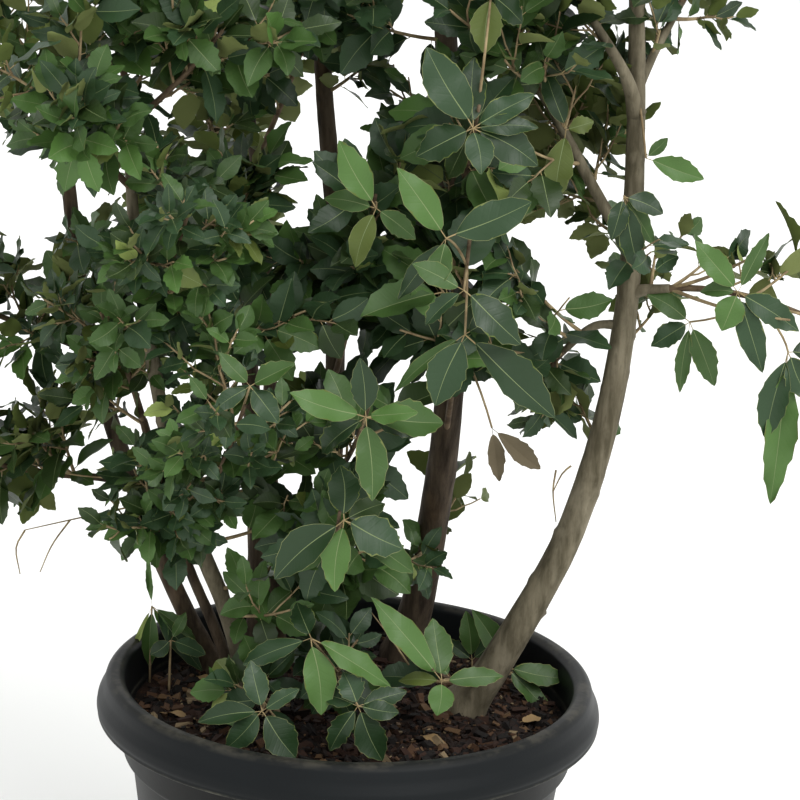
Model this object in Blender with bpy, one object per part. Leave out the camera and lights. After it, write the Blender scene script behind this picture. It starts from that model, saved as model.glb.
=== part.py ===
"""A young holm oak: a clump of slim stems in the soil of a round plastic nursery pot.

Metres, +Z up. The origin is the middle of the pot's flat underside, and the clump is looked at along +Y,
with +X to the right. Sizes and places in the tables are in millimetres.
"""
import math
import random
from collections import namedtuple

import bmesh
import bpy
from mathutils import Matrix, Vector
from mathutils.bvhtree import BVHTree

MM = 0.001
GAP = 0.3 * MM
CLEARANCE = 1.0 * MM
GOLDEN_ANGLE = math.radians(137.5)
UP = Vector((0, 0, 1))

# The pot, a turned shell with a rolled lip, and the soil in it
POT_HEIGHT = 360
POT_SIDES = 32
LIP_RADIUS = 229
LIP_DEPTH = 37
CREST_RADIUS = 219
MOUTH_RADIUS = 205
BAND_DEPTH = 38
STEP_IN = 8
BASE_RADIUS = 160
WALL = 4
FLOOR = 5
DRAIN_HOLES = 6
DRAIN_RADIUS = 8
DRAIN_SIDES = 8
DRAIN_CIRCLE = 115
SOIL_HEIGHT = 320

# Stems and boughs
STEM_SIDES = 8
BOUGH_SIDES = 6
STEM_RING_SPACING = 100
BOUGH_RING_SPACING = 50
FLARE_SHARE = 0.45
FLARE_HEIGHT = 22

# Twigs and leaves
TWIG_SIDES = 3
LEADER_RADIUS = (4.4, 3.4)
TWIG_RADIUS = (2.2, 2.0)
LEADER_LEAVES = (3, 0.62)
TWIG_LEAVES = (3, 0.35)
FIRST_TWIG_ON_SIDE = 0.3
FIRST_TWIG_ON_TIP = 0.1
LAST_TWIG = 0.92
TWIG_SPREAD = math.radians(55)
TWIG_LIFT = 0.2
LEAF_WIDTH_SHARE = 0.6
LEAF_THICKNESS_SHARE = 0.026
LEAF_FOLD_SHARE = 0.05
LEAF_DROOP_SHARE = 0.05
LEAF_MIDDLE = 0.5
LEAF_LEAN = (58, 84)
LEAF_SINK = 0.6
FACE_AHEAD = 0.5
FACE_UP = 0.35
FACE_OUTWARD = 0.6
CROWN_AXIS = Vector((-0.02, 0.08, 0))
TIP_SINK = 5.0
BLADE_START = 0.3

Limb = namedtuple("Limb", "carrier height foot tip points")
Mass = namedtuple("Mass", "carrier height tip reach leaf sides")

# A stem stands on the soil: its two thicknesses, and the points that it passes through
STEMS = {
    "stem_far_left": Limb(None, None, 18, 9, [
        (-129, 78, 320), (-192, 90, 449), (-252, 105, 619), (-286, 120, 846), (-310, 140, 1150)]),
    "stem_thin": Limb(None, None, 11, 7, [
        (-106, 40, 320), (-127, 35, 380), (-149, 30, 433), (-170, 10, 500), (-190, -20, 590)]),
    "stem_front_left": Limb(None, None, 17, 8, [
        (-90, 10, 320), (-112, -5, 406), (-157, -40, 542), (-187, -80, 723), (-200, -90, 880)]),
    "stem_dark": Limb(None, None, 20, 10, [
        (-94, 131, 320), (-94, 125, 414), (-113, 120, 670), (-150, 110, 883), (-177, 100, 1220)]),
    "stem_rear": Limb(None, None, 16, 8, [
        (-76, 163, 320), (-84, 170, 432), (-96, 175, 690), (-135, 200, 950), (-150, 210, 1080)]),
    "stem_middle": Limb(None, None, 21, 11, [
        (-22, 119, 320), (-24, 105, 429), (-29, 100, 720), (-50, 100, 955), (-49, 70, 1370)]),
    "stem_tall": Limb(None, None, 33, 12, [
        (51, 146, 320), (68, 120, 418), (82, 90, 600), (72, 70, 808), (50, 50, 1044), (25, 20, 1290)]),
    "stem_right": Limb(None, None, 31, 9, [
        (105, 12, 320), (140, 0, 383), (195, -10, 512), (225, -10, 668), (227, 0, 841), (210, 20, 1120)]),
}

# A bough leaves its stem at a height, and passes through its points
BOUGHS = {
    "bough_tall_side": Limb("stem_tall", 790, 11, 7, [(84, 84, 864), (85, 104, 980), (92, 120, 1130)]),
    "bough_right_inner": Limb("stem_right", 752, 11, 7, [(194, 0, 806), (162, 10, 859), (118, 20, 925)]),
    "bough_right_left_fork": Limb("stem_right", 872, 12, 7, [(212, -12, 905), (180, -26, 950)]),
    "bough_right_right_fork": Limb("stem_right", 892, 8, 6, [(240, 12, 926), (262, 28, 968)]),
    "bough_right_low": Limb("stem_right", 690, 8, 6, [(200, -2, 686), (176, 8, 660)]),
    "bough_right_side": Limb("stem_right", 716, 10, 7, [(240, -14, 722), (262, -22, 726)]),
    "bough_left_upper": Limb("stem_far_left", 618, 8, 6, [(-268, 98, 630), (-285, 92, 638)]),
    "bough_left_lower": Limb("stem_far_left", 500, 7, 6, [(-240, 90, 506), (-265, 82, 509)]),
}

# A mass grows from a height on its stem, or from its limb's tip where no height is given
MASSES = {
    "leaves_foot_left": Mass("stem_front_left", 345, (-62, -128, 378), 60, 58, 2),
    "leaves_foot_middle": Mass("stem_middle", 350, (-8, -112, 398), 62, 58, 2),
    "leaves_foot_right": Mass("stem_right", 352, (70, -100, 400), 62, 72, 2),
    "leaves_foot_rear": Mass("stem_right", 345, (170, 70, 392), 60, 60, 2),
    "leaves_low_front": Mass("stem_middle", 425, (-14, -140, 548), 82, 76, 3),
    "leaves_mid_front": Mass("stem_middle", 520, (8, -165, 650), 85, 76, 3),
    "leaves_centre": Mass("stem_tall", 560, (82, -130, 790), 100, 104, 3),
    "leaves_front_high": Mass("stem_tall", 760, (84, -115, 880), 90, 80, 3),
    "leaves_inner": Mass("stem_middle", 610, (5, -60, 800), 95, 76, 3),
    "leaves_twiggy": Mass("stem_front_left", 500, (-92, -165, 640), 105, 74, 3),
    "leaves_twiggy_low": Mass("stem_thin", 455, (-175, -90, 530), 80, 66, 3),
    "leaves_thin_tip": Mass("stem_thin", None, (-215, -110, 700), 95, 74, 3),
    "leaves_left_shoot": Mass("stem_front_left", 690, (-140, -170, 790), 90, 74, 3),
    "leaves_upper_left": Mass("stem_front_left", 800, (-240, -170, 880), 100, 76, 3),
    "leaves_upper_inner": Mass("stem_front_left", 850, (-120, -120, 930), 90, 76, 3),
    "leaves_front_left_tip": Mass("stem_front_left", None, (-200, -130, 1060), 130, 99, 3),
    "leaves_far_left_high": Mass("stem_far_left", 850, (-395, 60, 930), 115, 78, 3),
    "leaves_side_upper": Mass("bough_left_upper", None, (-425, 40, 700), 112, 80, 4),
    "leaves_side_lower": Mass("bough_left_lower", None, (-385, 35, 545), 98, 80, 4),
    "leaves_dark_middle": Mass("stem_dark", 690, (-125, 10, 780), 90, 80, 3),
    "leaves_rear_low": Mass("stem_rear", 640, (-170, 320, 780), 120, 99, 3),
    "leaves_rear_high": Mass("stem_rear", 800, (-60, 330, 950), 115, 99, 3),
    "leaves_middle_high": Mass("stem_middle", 900, (-45, 0, 980), 85, 76, 3),
    "leaves_tall_rear": Mass("stem_tall", 680, (80, 260, 840), 115, 99, 3),
    "leaves_inner_bough": Mass("bough_right_inner", 850, (165, 90, 860), 85, 76, 3),
    "leaves_inner_tip": Mass("bough_right_inner", None, (100, -80, 1150), 115, 99, 3),
    "leaves_left_fork": Mass("bough_right_left_fork", None, (180, -130, 1080), 110, 80, 3),
    "leaves_right_fork": Mass("bough_right_right_fork", None, (370, 50, 1160), 130, 101, 3),
    "leaves_right_low": Mass("bough_right_low", None, (160, 20, 610), 60, 60, 2),
    "leaves_right_side": Mass("bough_right_side", None, (425, -60, 690), 110, 80, 4),
    "leaves_far_left_tip": Mass("stem_far_left", None, (-380, 140, 1400), 150, 109, 4),
    "leaves_dark_tip": Mass("stem_dark", None, (-190, 90, 1520), 145, 109, 4),
    "leaves_rear_tip": Mass("stem_rear", None, (-180, 310, 1340), 150, 109, 4),
    "leaves_middle_tip": Mass("stem_middle", None, (-40, 60, 1670), 140, 109, 4),
    "leaves_tall_tip": Mass("stem_tall", None, (50, -40, 1560), 140, 109, 4),
    "leaves_tall_side": Mass("bough_tall_side", None, (130, 180, 1420), 145, 109, 4),
    "leaves_right_tip": Mass("stem_right", None, (230, 10, 1400), 145, 109, 4),
    "leaves_crown_front": Mass("stem_middle", 1040, (-60, -130, 1280), 145, 109, 4),
    "leaves_crown_rear": Mass("stem_middle", 1060, (-20, 310, 1200), 140, 109, 3),
    "leaves_crown_right": Mass("bough_tall_side", 985, (220, 290, 1130), 140, 109, 3),
    "leaves_crown_left": Mass("stem_dark", 1020, (-290, -20, 1240), 140, 109, 3),
}

Piece = namedtuple("Piece", "points faces")


def millimetres(point):
    return Vector(point) * MM


def clear_scene():
    for item in list(bpy.data.objects):
        bpy.data.objects.remove(item, do_unlink=True)


def material(name, colour, roughness):
    finish = bpy.data.materials.new(name)
    finish.use_nodes = True
    shader = finish.node_tree.nodes["Principled BSDF"]
    shader.inputs["Base Color"].default_value = (*colour, 1)
    shader.inputs["Roughness"].default_value = roughness
    finish.diffuse_color = (*colour, 1)
    return finish


def add_object(name, mesh, finish):
    item = bpy.data.objects.new(name, mesh)
    bpy.context.scene.collection.objects.link(item)
    if finish is not None:
        mesh.materials.append(finish)
    return item


def mesh_of(piece, name):
    mesh = bpy.data.meshes.new(name)
    mesh.from_pydata(piece.points, [], piece.faces)
    return mesh


def tree_of(piece):
    return BVHTree.FromPolygons(piece.points, piece.faces)


def smooth_path(points, spacing):
    """Evenly spaced points along a smooth curve through the given points."""
    ends = [points[0] * 2 - points[1], *points, points[-1] * 2 - points[-2]]
    fine = []
    steps = 24
    for before, start, end, after in zip(ends, ends[1:], ends[2:], ends[3:]):
        for step in range(steps):
            t = step / steps
            fine.append(0.5 * (
                start * 2
                + (end - before) * t
                + (before * 2 - start * 5 + end * 4 - after) * t ** 2
                + (start * 3 - before - end * 3 + after) * t ** 3))
    fine.append(points[-1].copy())
    return even_path(fine, spacing)


def even_path(fine, spacing):
    lengths = [0.0]
    for start, end in zip(fine, fine[1:]):
        lengths.append(lengths[-1] + (end - start).length)
    count = max(2, round(lengths[-1] / spacing))
    path = []
    place = 0
    for index in range(count + 1):
        target = lengths[-1] * index / count
        while place < len(fine) - 2 and lengths[place + 1] < target:
            place += 1
        share = (target - lengths[place]) / (lengths[place + 1] - lengths[place])
        path.append(fine[place].lerp(fine[place + 1], share))
    return path


def tangents(path):
    inner = [(after - before).normalized() for before, after in zip(path, path[2:])]
    return [(path[1] - path[0]).normalized(), *inner, (path[-1] - path[-2]).normalized()]


def point_at_height(path, height):
    for start, end in zip(path, path[1:]):
        if start.z <= height <= end.z:
            return start.lerp(end, (height - start.z) / (end.z - start.z))
    raise ValueError("no point of the limb lies at this height")


def tube(path, radii, sides, foot=None):
    """A closed tapering tube along a path, its first ring square to the foot direction where one is given."""
    directions = tangents(path)
    if foot is not None:
        directions[0] = foot
    side = directions[0].orthogonal().normalized()
    points = []
    for middle, direction, radius in zip(path, directions, radii):
        side = (side - direction * side.dot(direction)).normalized()
        other = direction.cross(side)
        for index in range(sides):
            angle = math.tau * index / sides
            points.append(middle + (side * math.cos(angle) + other * math.sin(angle)) * radius)
    faces = [tuple(reversed(range(sides)))]
    for ring in range(len(path) - 1):
        start = ring * sides
        for index in range(sides):
            after = (index + 1) % sides
            faces.append((start + index, start + after, start + sides + after, start + sides + index))
    faces.append(tuple(range(len(points) - sides, len(points))))
    return Piece(points, faces)


def limb_piece(limb, path, margin=0.0):
    """A stem with its root flare, or a bough, grown by a margin on every side where one is given."""
    radii = []
    travelled = 0.0
    whole = sum((end - start).length for start, end in zip(path, path[1:]))
    for index, point in enumerate(path):
        if index:
            travelled += (point - path[index - 1]).length
        radius = (limb.foot + (limb.tip - limb.foot) * travelled / whole) / 2 * MM
        if limb.carrier is None:
            radius *= 1 + FLARE_SHARE * math.exp(-travelled / (FLARE_HEIGHT * MM))
        radii.append(radius + margin)
    sides = BOUGH_SIDES if limb.carrier else STEM_SIDES
    if margin:
        first, last = tangents(path)[0], tangents(path)[-1]
        path = [path[0] - first * margin, *path[1:-1], path[-1] + last * margin]
    return tube(path, radii, sides, None if limb.carrier else UP)


def limb_paths():
    """The smooth line of every stem and bough."""
    paths = {}
    for name, stem in STEMS.items():
        points = [millimetres(point) for point in stem.points]
        points[0].z += GAP
        flare = points[0] + (points[1] - points[0]).normalized() * FLARE_HEIGHT * 1.3 * MM
        path = smooth_path(points, STEM_RING_SPACING * MM)
        paths[name] = [path[0], flare, *path[1:]]
    for name, bough in BOUGHS.items():
        root = point_at_height(paths[bough.carrier], bough.height * MM)
        points = [root, *[millimetres(point) for point in bough.points]]
        paths[name] = smooth_path(points, BOUGH_RING_SPACING * MM)
    return paths


def cut_away(item, cutter_piece):
    """Takes the cutter's shape out of an object, so that the two stay a small gap apart."""
    cutter = add_object("cutter", mesh_of(cutter_piece, "cutter"), None)
    cut = item.modifiers.new("clear_of_carrier", "BOOLEAN")
    cut.operation = "DIFFERENCE"
    cut.solver = "EXACT"
    cut.object = cutter
    keep_evaluated(item)
    bpy.data.objects.remove(cutter, do_unlink=True)


def keep_evaluated(item):
    bpy.context.view_layer.update()
    graph = bpy.context.evaluated_depsgraph_get()
    mesh = bpy.data.meshes.new_from_object(item.evaluated_get(graph))
    item.modifiers.clear()
    item.data = mesh


def keep_largest_body(item):
    """Drops loose scraps and the inner skins of sealed hollows, which fills those."""
    shell = bmesh.new()
    shell.from_mesh(item.data)
    unseen = set(shell.verts)
    bodies = []
    while unseen:
        body = {unseen.pop()}
        edge = list(body)
        while edge:
            vertex = edge.pop()
            for link in vertex.link_edges:
                other = link.other_vert(vertex)
                if other in unseen:
                    unseen.discard(other)
                    body.add(other)
                    edge.append(other)
        bodies.append(body)
    largest = max(bodies, key=len)
    spare = [vertex for body in bodies if body is not largest for vertex in body]
    bmesh.ops.delete(shell, geom=spare, context="VERTS")
    shell.to_mesh(item.data)
    shell.free()


def inner_wall():
    """The inside of the pot from lip to floor, as radius and height."""
    lip_foot = POT_HEIGHT - LIP_DEPTH
    return [
        (MOUTH_RADIUS - WALL, lip_foot),
        (MOUTH_RADIUS - STEP_IN - WALL, lip_foot - BAND_DEPTH - 3),
        (BASE_RADIUS - WALL - 1, FLOOR),
    ]


def pot_profile():
    """The turned outline, from the middle of the underside out, over the lip and back to the floor."""
    lip_foot = POT_HEIGHT - LIP_DEPTH
    band_foot = lip_foot - BAND_DEPTH
    wall_top = MOUTH_RADIUS - STEP_IN
    return [
        (BASE_RADIUS - 5, 0),
        (BASE_RADIUS, 4),
        (wall_top, band_foot - 3),
        (MOUTH_RADIUS, band_foot + 3),
        (MOUTH_RADIUS + 3, POT_HEIGHT - 8),
        (CREST_RADIUS - 3, POT_HEIGHT - 8),
        (LIP_RADIUS - 4, lip_foot),
        (LIP_RADIUS, lip_foot),
        (LIP_RADIUS, lip_foot + 11),
        (CREST_RADIUS + 1.5, POT_HEIGHT - 4),
        (CREST_RADIUS - 2, POT_HEIGHT),
        (MOUTH_RADIUS + 2, POT_HEIGHT),
        (MOUTH_RADIUS - 1, POT_HEIGHT - 4),
        *inner_wall(),
    ]


def turned(profile, sides):
    """A closed turned solid whose outline starts and ends on the axis side, capped by flat discs."""
    points = []
    for radius, height in profile:
        for index in range(sides):
            angle = math.tau * index / sides
            points.append(Vector((radius * math.cos(angle), radius * math.sin(angle), height)) * MM)
    faces = [tuple(reversed(range(sides)))]
    for ring in range(len(profile) - 1):
        start = ring * sides
        for index in range(sides):
            after = (index + 1) % sides
            faces.append((start + index, start + after, start + sides + after, start + sides + index))
    faces.append(tuple(range(len(points) - sides, len(points))))
    return Piece(points, faces)


def build_pot(finish):
    pot = add_object("pot", mesh_of(turned(pot_profile(), POT_SIDES), "pot"), finish)
    for index in range(DRAIN_HOLES):
        angle = math.tau * (index + 0.5) / DRAIN_HOLES
        middle = Vector((math.cos(angle), math.sin(angle), 0)) * DRAIN_CIRCLE * MM
        drop = UP * FLOOR * MM
        cut_away(pot, tube([middle - drop, middle + drop * 2], [DRAIN_RADIUS * MM] * 2, DRAIN_SIDES))
    shade_round(pot)
    return pot


def build_soil(finish):
    """The root ball's soil, which fills the pot up to the stems' feet, just clear of wall and floor."""
    clear = 1.5 * GAP / MM
    (rim_radius, rim), (ledge_radius, ledge), (floor_radius, floor) = inner_wall()
    share = (SOIL_HEIGHT - ledge) / (rim - ledge)
    profile = [
        (floor_radius - clear, floor + clear),
        (ledge_radius - clear, ledge),
        (ledge_radius + (rim_radius - ledge_radius) * share - clear, SOIL_HEIGHT),
    ]
    soil = add_object("soil", mesh_of(turned(profile, POT_SIDES), "soil"), finish)
    shade_round(soil)
    return soil


def shade_round(item):
    item.data.shade_smooth()
    item.data.set_sharp_from_angle(angle=math.radians(35))


def leader_path(mass, root, heading):
    """The mass's own stem, which goes on from a tip, or leaves a stem's side and then turns up."""
    tip = millimetres(mass.tip)
    span = tip - root
    if mass.height is None:
        bend = root + heading * span.length * 0.45
    else:
        level = Vector((span.x, span.y, 0)).length
        bend = root + span * 0.5 - UP * level * 0.12
    curve = [root.lerp(bend, t).lerp(bend.lerp(tip, t), t) for t in (step / 12 for step in range(13))]
    return even_path(curve, span.length / 4)


def space_radius(mass, share):
    """How far the mass reaches from its stem: less at the root, and all of it from the middle on."""
    return mass.reach * MM * min(1.0, 0.5 + share)


def keeps_to_space(mass, leader, point):
    best = 1e9
    count = len(leader) - 1
    for index, (start, end) in enumerate(zip(leader, leader[1:])):
        step = end - start
        along = max(0.0, min(1.0, (point - start).dot(step) / step.length_squared))
        away = (point - start - step * along).length
        best = min(best, away - space_radius(mass, (index + along) / count))
    return best <= 0


def side_twigs(mass, leader, rng):
    """Twigs that leave the mass's stem all round it by the golden angle, and bend up a little."""
    twigs = []
    directions = tangents(leader)
    count = len(leader) - 1
    turn = rng.uniform(0, math.tau)
    first = FIRST_TWIG_ON_TIP if mass.height is None else FIRST_TWIG_ON_SIDE
    for index in range(mass.sides):
        share = first + (LAST_TWIG - first) * (index + 0.5) / mass.sides
        place = share * count
        segment = int(place)
        root = leader[segment].lerp(leader[segment + 1], place - segment)
        ahead = directions[segment]
        across = ahead.orthogonal().normalized()
        across.rotate(Matrix.Rotation(turn + index * GOLDEN_ANGLE, 3, ahead))
        heading = ahead * math.cos(TWIG_SPREAD) + across * math.sin(TWIG_SPREAD) + UP * TWIG_LIFT
        length = space_radius(mass, share) * rng.uniform(0.95, 1.15) - mass.leaf * 0.62 * MM
        length = max(length, 0.3 * mass.reach * MM)
        twigs.append([root, root + heading.normalized() * length])
    return twigs


def leaf_places(path, count, start_share, rng):
    """Where leaves stand on a twig: root, direction along the blade, and the way its face looks."""
    places = []
    ahead = (path[-1] - path[-2]).normalized()
    length = sum((end - start).length for start, end in zip(path, path[1:]))
    turn = rng.uniform(0, math.tau)
    for index in range(count):
        share = start_share + (1 - start_share) * index / count
        back = length * (1 - share)
        root = path[-1] - ahead * back
        across = ahead.orthogonal().normalized()
        across.rotate(Matrix.Rotation(turn + index * GOLDEN_ANGLE, 3, ahead))
        lean = math.radians(rng.uniform(*LEAF_LEAN))
        along = (ahead * math.cos(lean) + across * math.sin(lean)).normalized()
        places.append((root - along * LEAF_SINK * MM, along, facing(root, along, ahead)))
    places.append((path[-1] - ahead * TIP_SINK * MM, ahead, facing(path[-1], ahead, UP)))
    return places


def facing(root, along, ahead):
    """The way a blade's face looks: on along its twig, to the sky, and out of the crown to the light."""
    outward = root - CROWN_AXIS
    outward.z = 0
    face = ahead * FACE_AHEAD + UP * FACE_UP + outward.normalized() * FACE_OUTWARD
    face -= along * face.dot(along)
    if face.length < 0.1:
        face = along.orthogonal()
    return face.normalized()


def leaf_piece(root, along, face, length, margin=0.0, start=0.0):
    """A kite-shaped blade of eight faces, folded along its midrib."""
    side = along.cross(face)
    half = length * LEAF_WIDTH_SHARE / 2 + margin
    thick = length * LEAF_THICKNESS_SHARE / 2 + margin
    middle = root + along * length * LEAF_MIDDLE
    fold = face * length * LEAF_FOLD_SHARE
    foot = root.lerp(middle, start)
    tip = root + along * (length + margin) - face * length * LEAF_DROOP_SHARE
    points = [foot, middle + side * half + fold, tip, middle - side * half + fold,
              middle + face * thick, middle - face * thick]
    faces = [(0, 1, 4), (1, 2, 4), (2, 3, 4), (3, 0, 4), (1, 0, 5), (2, 1, 5), (3, 2, 5), (0, 3, 5)]
    return Piece(points, faces)


def meets(tree, others):
    return any(tree.overlap(other) for other in others)


def leader_tube(leader, foot):
    start, end = LEADER_RADIUS
    last = len(leader) - 1
    radii = [(start + (end - start) * index / last) * MM for index in range(last + 1)]
    return tube(leader, radii, TWIG_SIDES, foot)


def grow_mass(mass, leader, foot, obstacles, seed):
    """The twigs and leaves of one mass: each kept only inside its space and clear of all others."""
    rng = random.Random(seed)
    pieces = [leader_tube(leader, foot)]
    trees = [tree_of(pieces[0])]
    twigs = [(leader, *LEADER_LEAVES)]
    for path in side_twigs(mass, leader, rng):
        thickness = [TWIG_RADIUS[0] * MM, TWIG_RADIUS[1] * MM]
        outer = tree_of(tube([path[0].lerp(path[1], BLADE_START), path[1]],
                             [radius + CLEARANCE for radius in thickness], TWIG_SIDES))
        if meets(outer, obstacles) or meets(outer, trees[1:]) or not keeps_to_space(mass, leader, path[1]):
            continue
        pieces.append(tube(path, thickness, TWIG_SIDES))
        trees.append(tree_of(pieces[-1]))
        twigs.append((path, *TWIG_LEAVES))
    for number, (path, count, start_share) in enumerate(twigs):
        for place, along, face in leaf_places(path, count, start_share, rng):
            length = mass.leaf * rng.uniform(0.85, 1.12) * MM
            if not keeps_to_space(mass, leader, place + along * length):
                length *= 0.8
            if not keeps_to_space(mass, leader, place + along * length):
                continue
            whole = tree_of(leaf_piece(place, along, face, length, CLEARANCE))
            blade = tree_of(leaf_piece(place, along, face, length, CLEARANCE, BLADE_START * 1.6))
            neighbours = trees[:number] + trees[number + 1:]
            if meets(whole, obstacles) or meets(whole, neighbours) or meets(blade, trees[number:number + 1]):
                continue
            pieces.append(leaf_piece(place, along, face, length))
            trees.append(tree_of(pieces[-1]))
    return pieces


def fuse(name, pieces, finish):
    """One union of the mass's stem with its twigs and leaves."""
    item = add_object(name, mesh_of(pieces[0], name), finish)
    group = bpy.data.collections.new(name)
    for piece in pieces[1:]:
        part = bpy.data.objects.new(name + "_part", mesh_of(piece, name + "_part"))
        group.objects.link(part)
    union = item.modifiers.new("union", "BOOLEAN")
    union.operation = "UNION"
    union.operand_type = "COLLECTION"
    union.solver = "EXACT"
    union.collection = group
    keep_evaluated(item)
    for part in list(group.objects):
        bpy.data.objects.remove(part, do_unlink=True)
    bpy.data.collections.remove(group)
    keep_largest_body(item)
    return item


def evaluated_tree(item):
    points = [vertex.co.copy() for vertex in item.data.vertices]
    faces = [tuple(face.vertices) for face in item.data.polygons]
    return BVHTree.FromPolygons(points, faces)


def build_limbs(paths, bark):
    limbs = {}
    for name, limb in {**STEMS, **BOUGHS}.items():
        limbs[name] = add_object(name, mesh_of(limb_piece(limb, paths[name]), name), bark)
        if limb.carrier:
            carrier = {**STEMS, **BOUGHS}[limb.carrier]
            cut_away(limbs[name], limb_piece(carrier, paths[limb.carrier], GAP * 1.15))
            keep_largest_body(limbs[name])
        shade_round(limbs[name])
    return limbs


def mass_root(mass, path):
    """Where the mass's stem starts: clear of its limb's tip, or on the axis of a limb that it is cut clear of."""
    if mass.height is None:
        return path[-1] + tangents(path)[-1] * GAP
    return point_at_height(path, mass.height * MM)


def build_masses(paths, limbs, others, foliage):
    every_limb = {**STEMS, **BOUGHS}
    leaders = {}
    for name, mass in MASSES.items():
        path = paths[mass.carrier]
        leaders[name] = leader_path(mass, mass_root(mass, path), tangents(path)[-1])
    solid = [evaluated_tree(item) for item in [*others, *limbs.values()]]
    finished = []
    for seed, (name, mass) in enumerate(MASSES.items()):
        path = paths[mass.carrier]
        others_leaders = [tree_of(leader_tube(leader, None)) for other, leader in leaders.items() if other != name]
        foot = tangents(path)[-1] if mass.height is None else None
        pieces = grow_mass(mass, leaders[name], foot, solid + finished + others_leaders, seed)
        item = fuse(name, pieces, foliage)
        if mass.height is not None:
            cut_away(item, limb_piece(every_limb[mass.carrier], path, GAP * 1.15))
            keep_largest_body(item)
        finished.append(evaluated_tree(item))


def main():
    clear_scene()
    plastic = material("charcoal_plastic", (0.030, 0.035, 0.042), 0.55)
    compost = material("bark_compost", (0.045, 0.025, 0.016), 0.95)
    bark = material("grey_brown_bark", (0.13, 0.10, 0.07), 0.9)
    foliage = material("dark_evergreen_leaf", (0.035, 0.085, 0.045), 0.5)
    pot = build_pot(plastic)
    soil = build_soil(compost)
    paths = limb_paths()
    limbs = build_limbs(paths, bark)
    build_masses(paths, limbs, [pot, soil], foliage)


main()
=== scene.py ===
"""A young holm oak in a nursery pot: the finish of every surface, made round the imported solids.

Metres, +Z up, looked at along +Y. Sizes and places in the tables are in millimetres, and a place that was
read in the photograph is a pixel of its 800 by 800 picture.
"""

import math
import random
from collections import namedtuple

import bpy
import numpy as np
from mathutils import Matrix, Vector, kdtree, noise


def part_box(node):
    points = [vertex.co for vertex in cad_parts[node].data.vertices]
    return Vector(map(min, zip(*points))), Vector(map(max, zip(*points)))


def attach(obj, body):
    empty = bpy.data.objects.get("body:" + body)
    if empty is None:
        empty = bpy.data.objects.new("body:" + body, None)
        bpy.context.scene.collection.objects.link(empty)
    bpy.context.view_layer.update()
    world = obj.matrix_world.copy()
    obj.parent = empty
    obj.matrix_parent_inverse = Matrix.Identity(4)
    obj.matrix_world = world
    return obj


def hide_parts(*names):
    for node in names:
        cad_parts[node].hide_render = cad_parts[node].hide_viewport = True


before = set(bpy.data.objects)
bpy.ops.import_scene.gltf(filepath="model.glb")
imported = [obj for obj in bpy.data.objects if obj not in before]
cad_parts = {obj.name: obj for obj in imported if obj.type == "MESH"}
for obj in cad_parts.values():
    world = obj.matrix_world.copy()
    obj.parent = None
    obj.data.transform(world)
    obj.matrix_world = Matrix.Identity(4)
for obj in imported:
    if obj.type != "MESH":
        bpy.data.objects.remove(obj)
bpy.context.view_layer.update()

# Camera
# The eye of someone who stands a long step from the pot and looks a little down on it. The picture's upper
# edge lies on the horizon and cuts the crown, and its lower edge cuts the pot.
MM = 0.001
PICTURE = 800
SENSOR = 36
LENS = 83.32
ZOOM = LENS / SENSOR * PICTURE
EYE = Vector((0, -1600, 967.5)) * MM
LOOKS_DOWN = math.radians(12.499)
LOOKS_RIGHT = math.radians(1.224)
ROLL = math.radians(2.594)

forward = Vector((math.sin(LOOKS_RIGHT) * math.cos(LOOKS_DOWN), math.cos(LOOKS_RIGHT) * math.cos(LOOKS_DOWN),
                  -math.sin(LOOKS_DOWN)))
level = Vector((math.cos(LOOKS_RIGHT), -math.sin(LOOKS_RIGHT), 0))
picture_right = level * math.cos(ROLL) + level.cross(forward) * math.sin(ROLL)
picture_up = level.cross(forward) * math.cos(ROLL) - level * math.sin(ROLL)
camera = bpy.data.objects.new("camera", bpy.data.cameras.new("camera"))
camera.data.lens = LENS
camera.data.sensor_width = SENSOR
turned_to = Matrix((picture_right, picture_up, -forward)).transposed().to_4x4()
camera.matrix_world = Matrix.Translation(EYE) @ turned_to
bpy.context.scene.collection.objects.link(camera)
bpy.context.scene.camera = camera

# Studio
# A matt white paper floor in a white room, with one broad soft lamp high on the right in front. It lights
# leaves and plastic evenly, as an overcast sky does.
FLOOR_REACH = 60.0
ROOM_LIGHT = 1.06
LAMP_LIGHT = 1.6
LAMP_SPREAD = math.radians(35)
LAMP_FROM = Vector((0.55, -0.75, 1.0))


def colour(code):
    """A linear colour for an sRGB hex value."""
    parts = [int(code[place:place + 2], 16) / 255 for place in (1, 3, 5)]
    linear = [part / 12.92 if part <= 0.04045 else ((part + 0.055) / 1.055) ** 2.4 for part in parts]
    return (*linear, 1)


def new_finish(name, base, roughness, specular):
    """A material with its principled shader set to plain values."""
    finish = bpy.data.materials.new(name)
    finish.use_nodes = True
    shader = finish.node_tree.nodes["Principled BSDF"]
    shader.inputs["Base Color"].default_value = colour(base)
    shader.inputs["Roughness"].default_value = roughness
    shader.inputs["Specular IOR Level"].default_value = specular
    return finish, shader


def new_object(name, mesh, *finishes):
    item = bpy.data.objects.new(name, mesh)
    bpy.context.scene.collection.objects.link(item)
    for finish in finishes:
        mesh.materials.append(finish)
    return item


floor_mesh = bpy.data.meshes.new("floor")
corners = [(x * FLOOR_REACH, y * FLOOR_REACH, 0) for x, y in ((-1, -1), (1, -1), (1, 1), (-1, 1))]
floor_mesh.from_pydata(corners, [], [(0, 1, 2, 3)])
paper, _ = new_finish("white_paper_matt", "#f6f6f4", 0.95, 0.1)
floor = new_object("floor", floor_mesh, paper)

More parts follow.
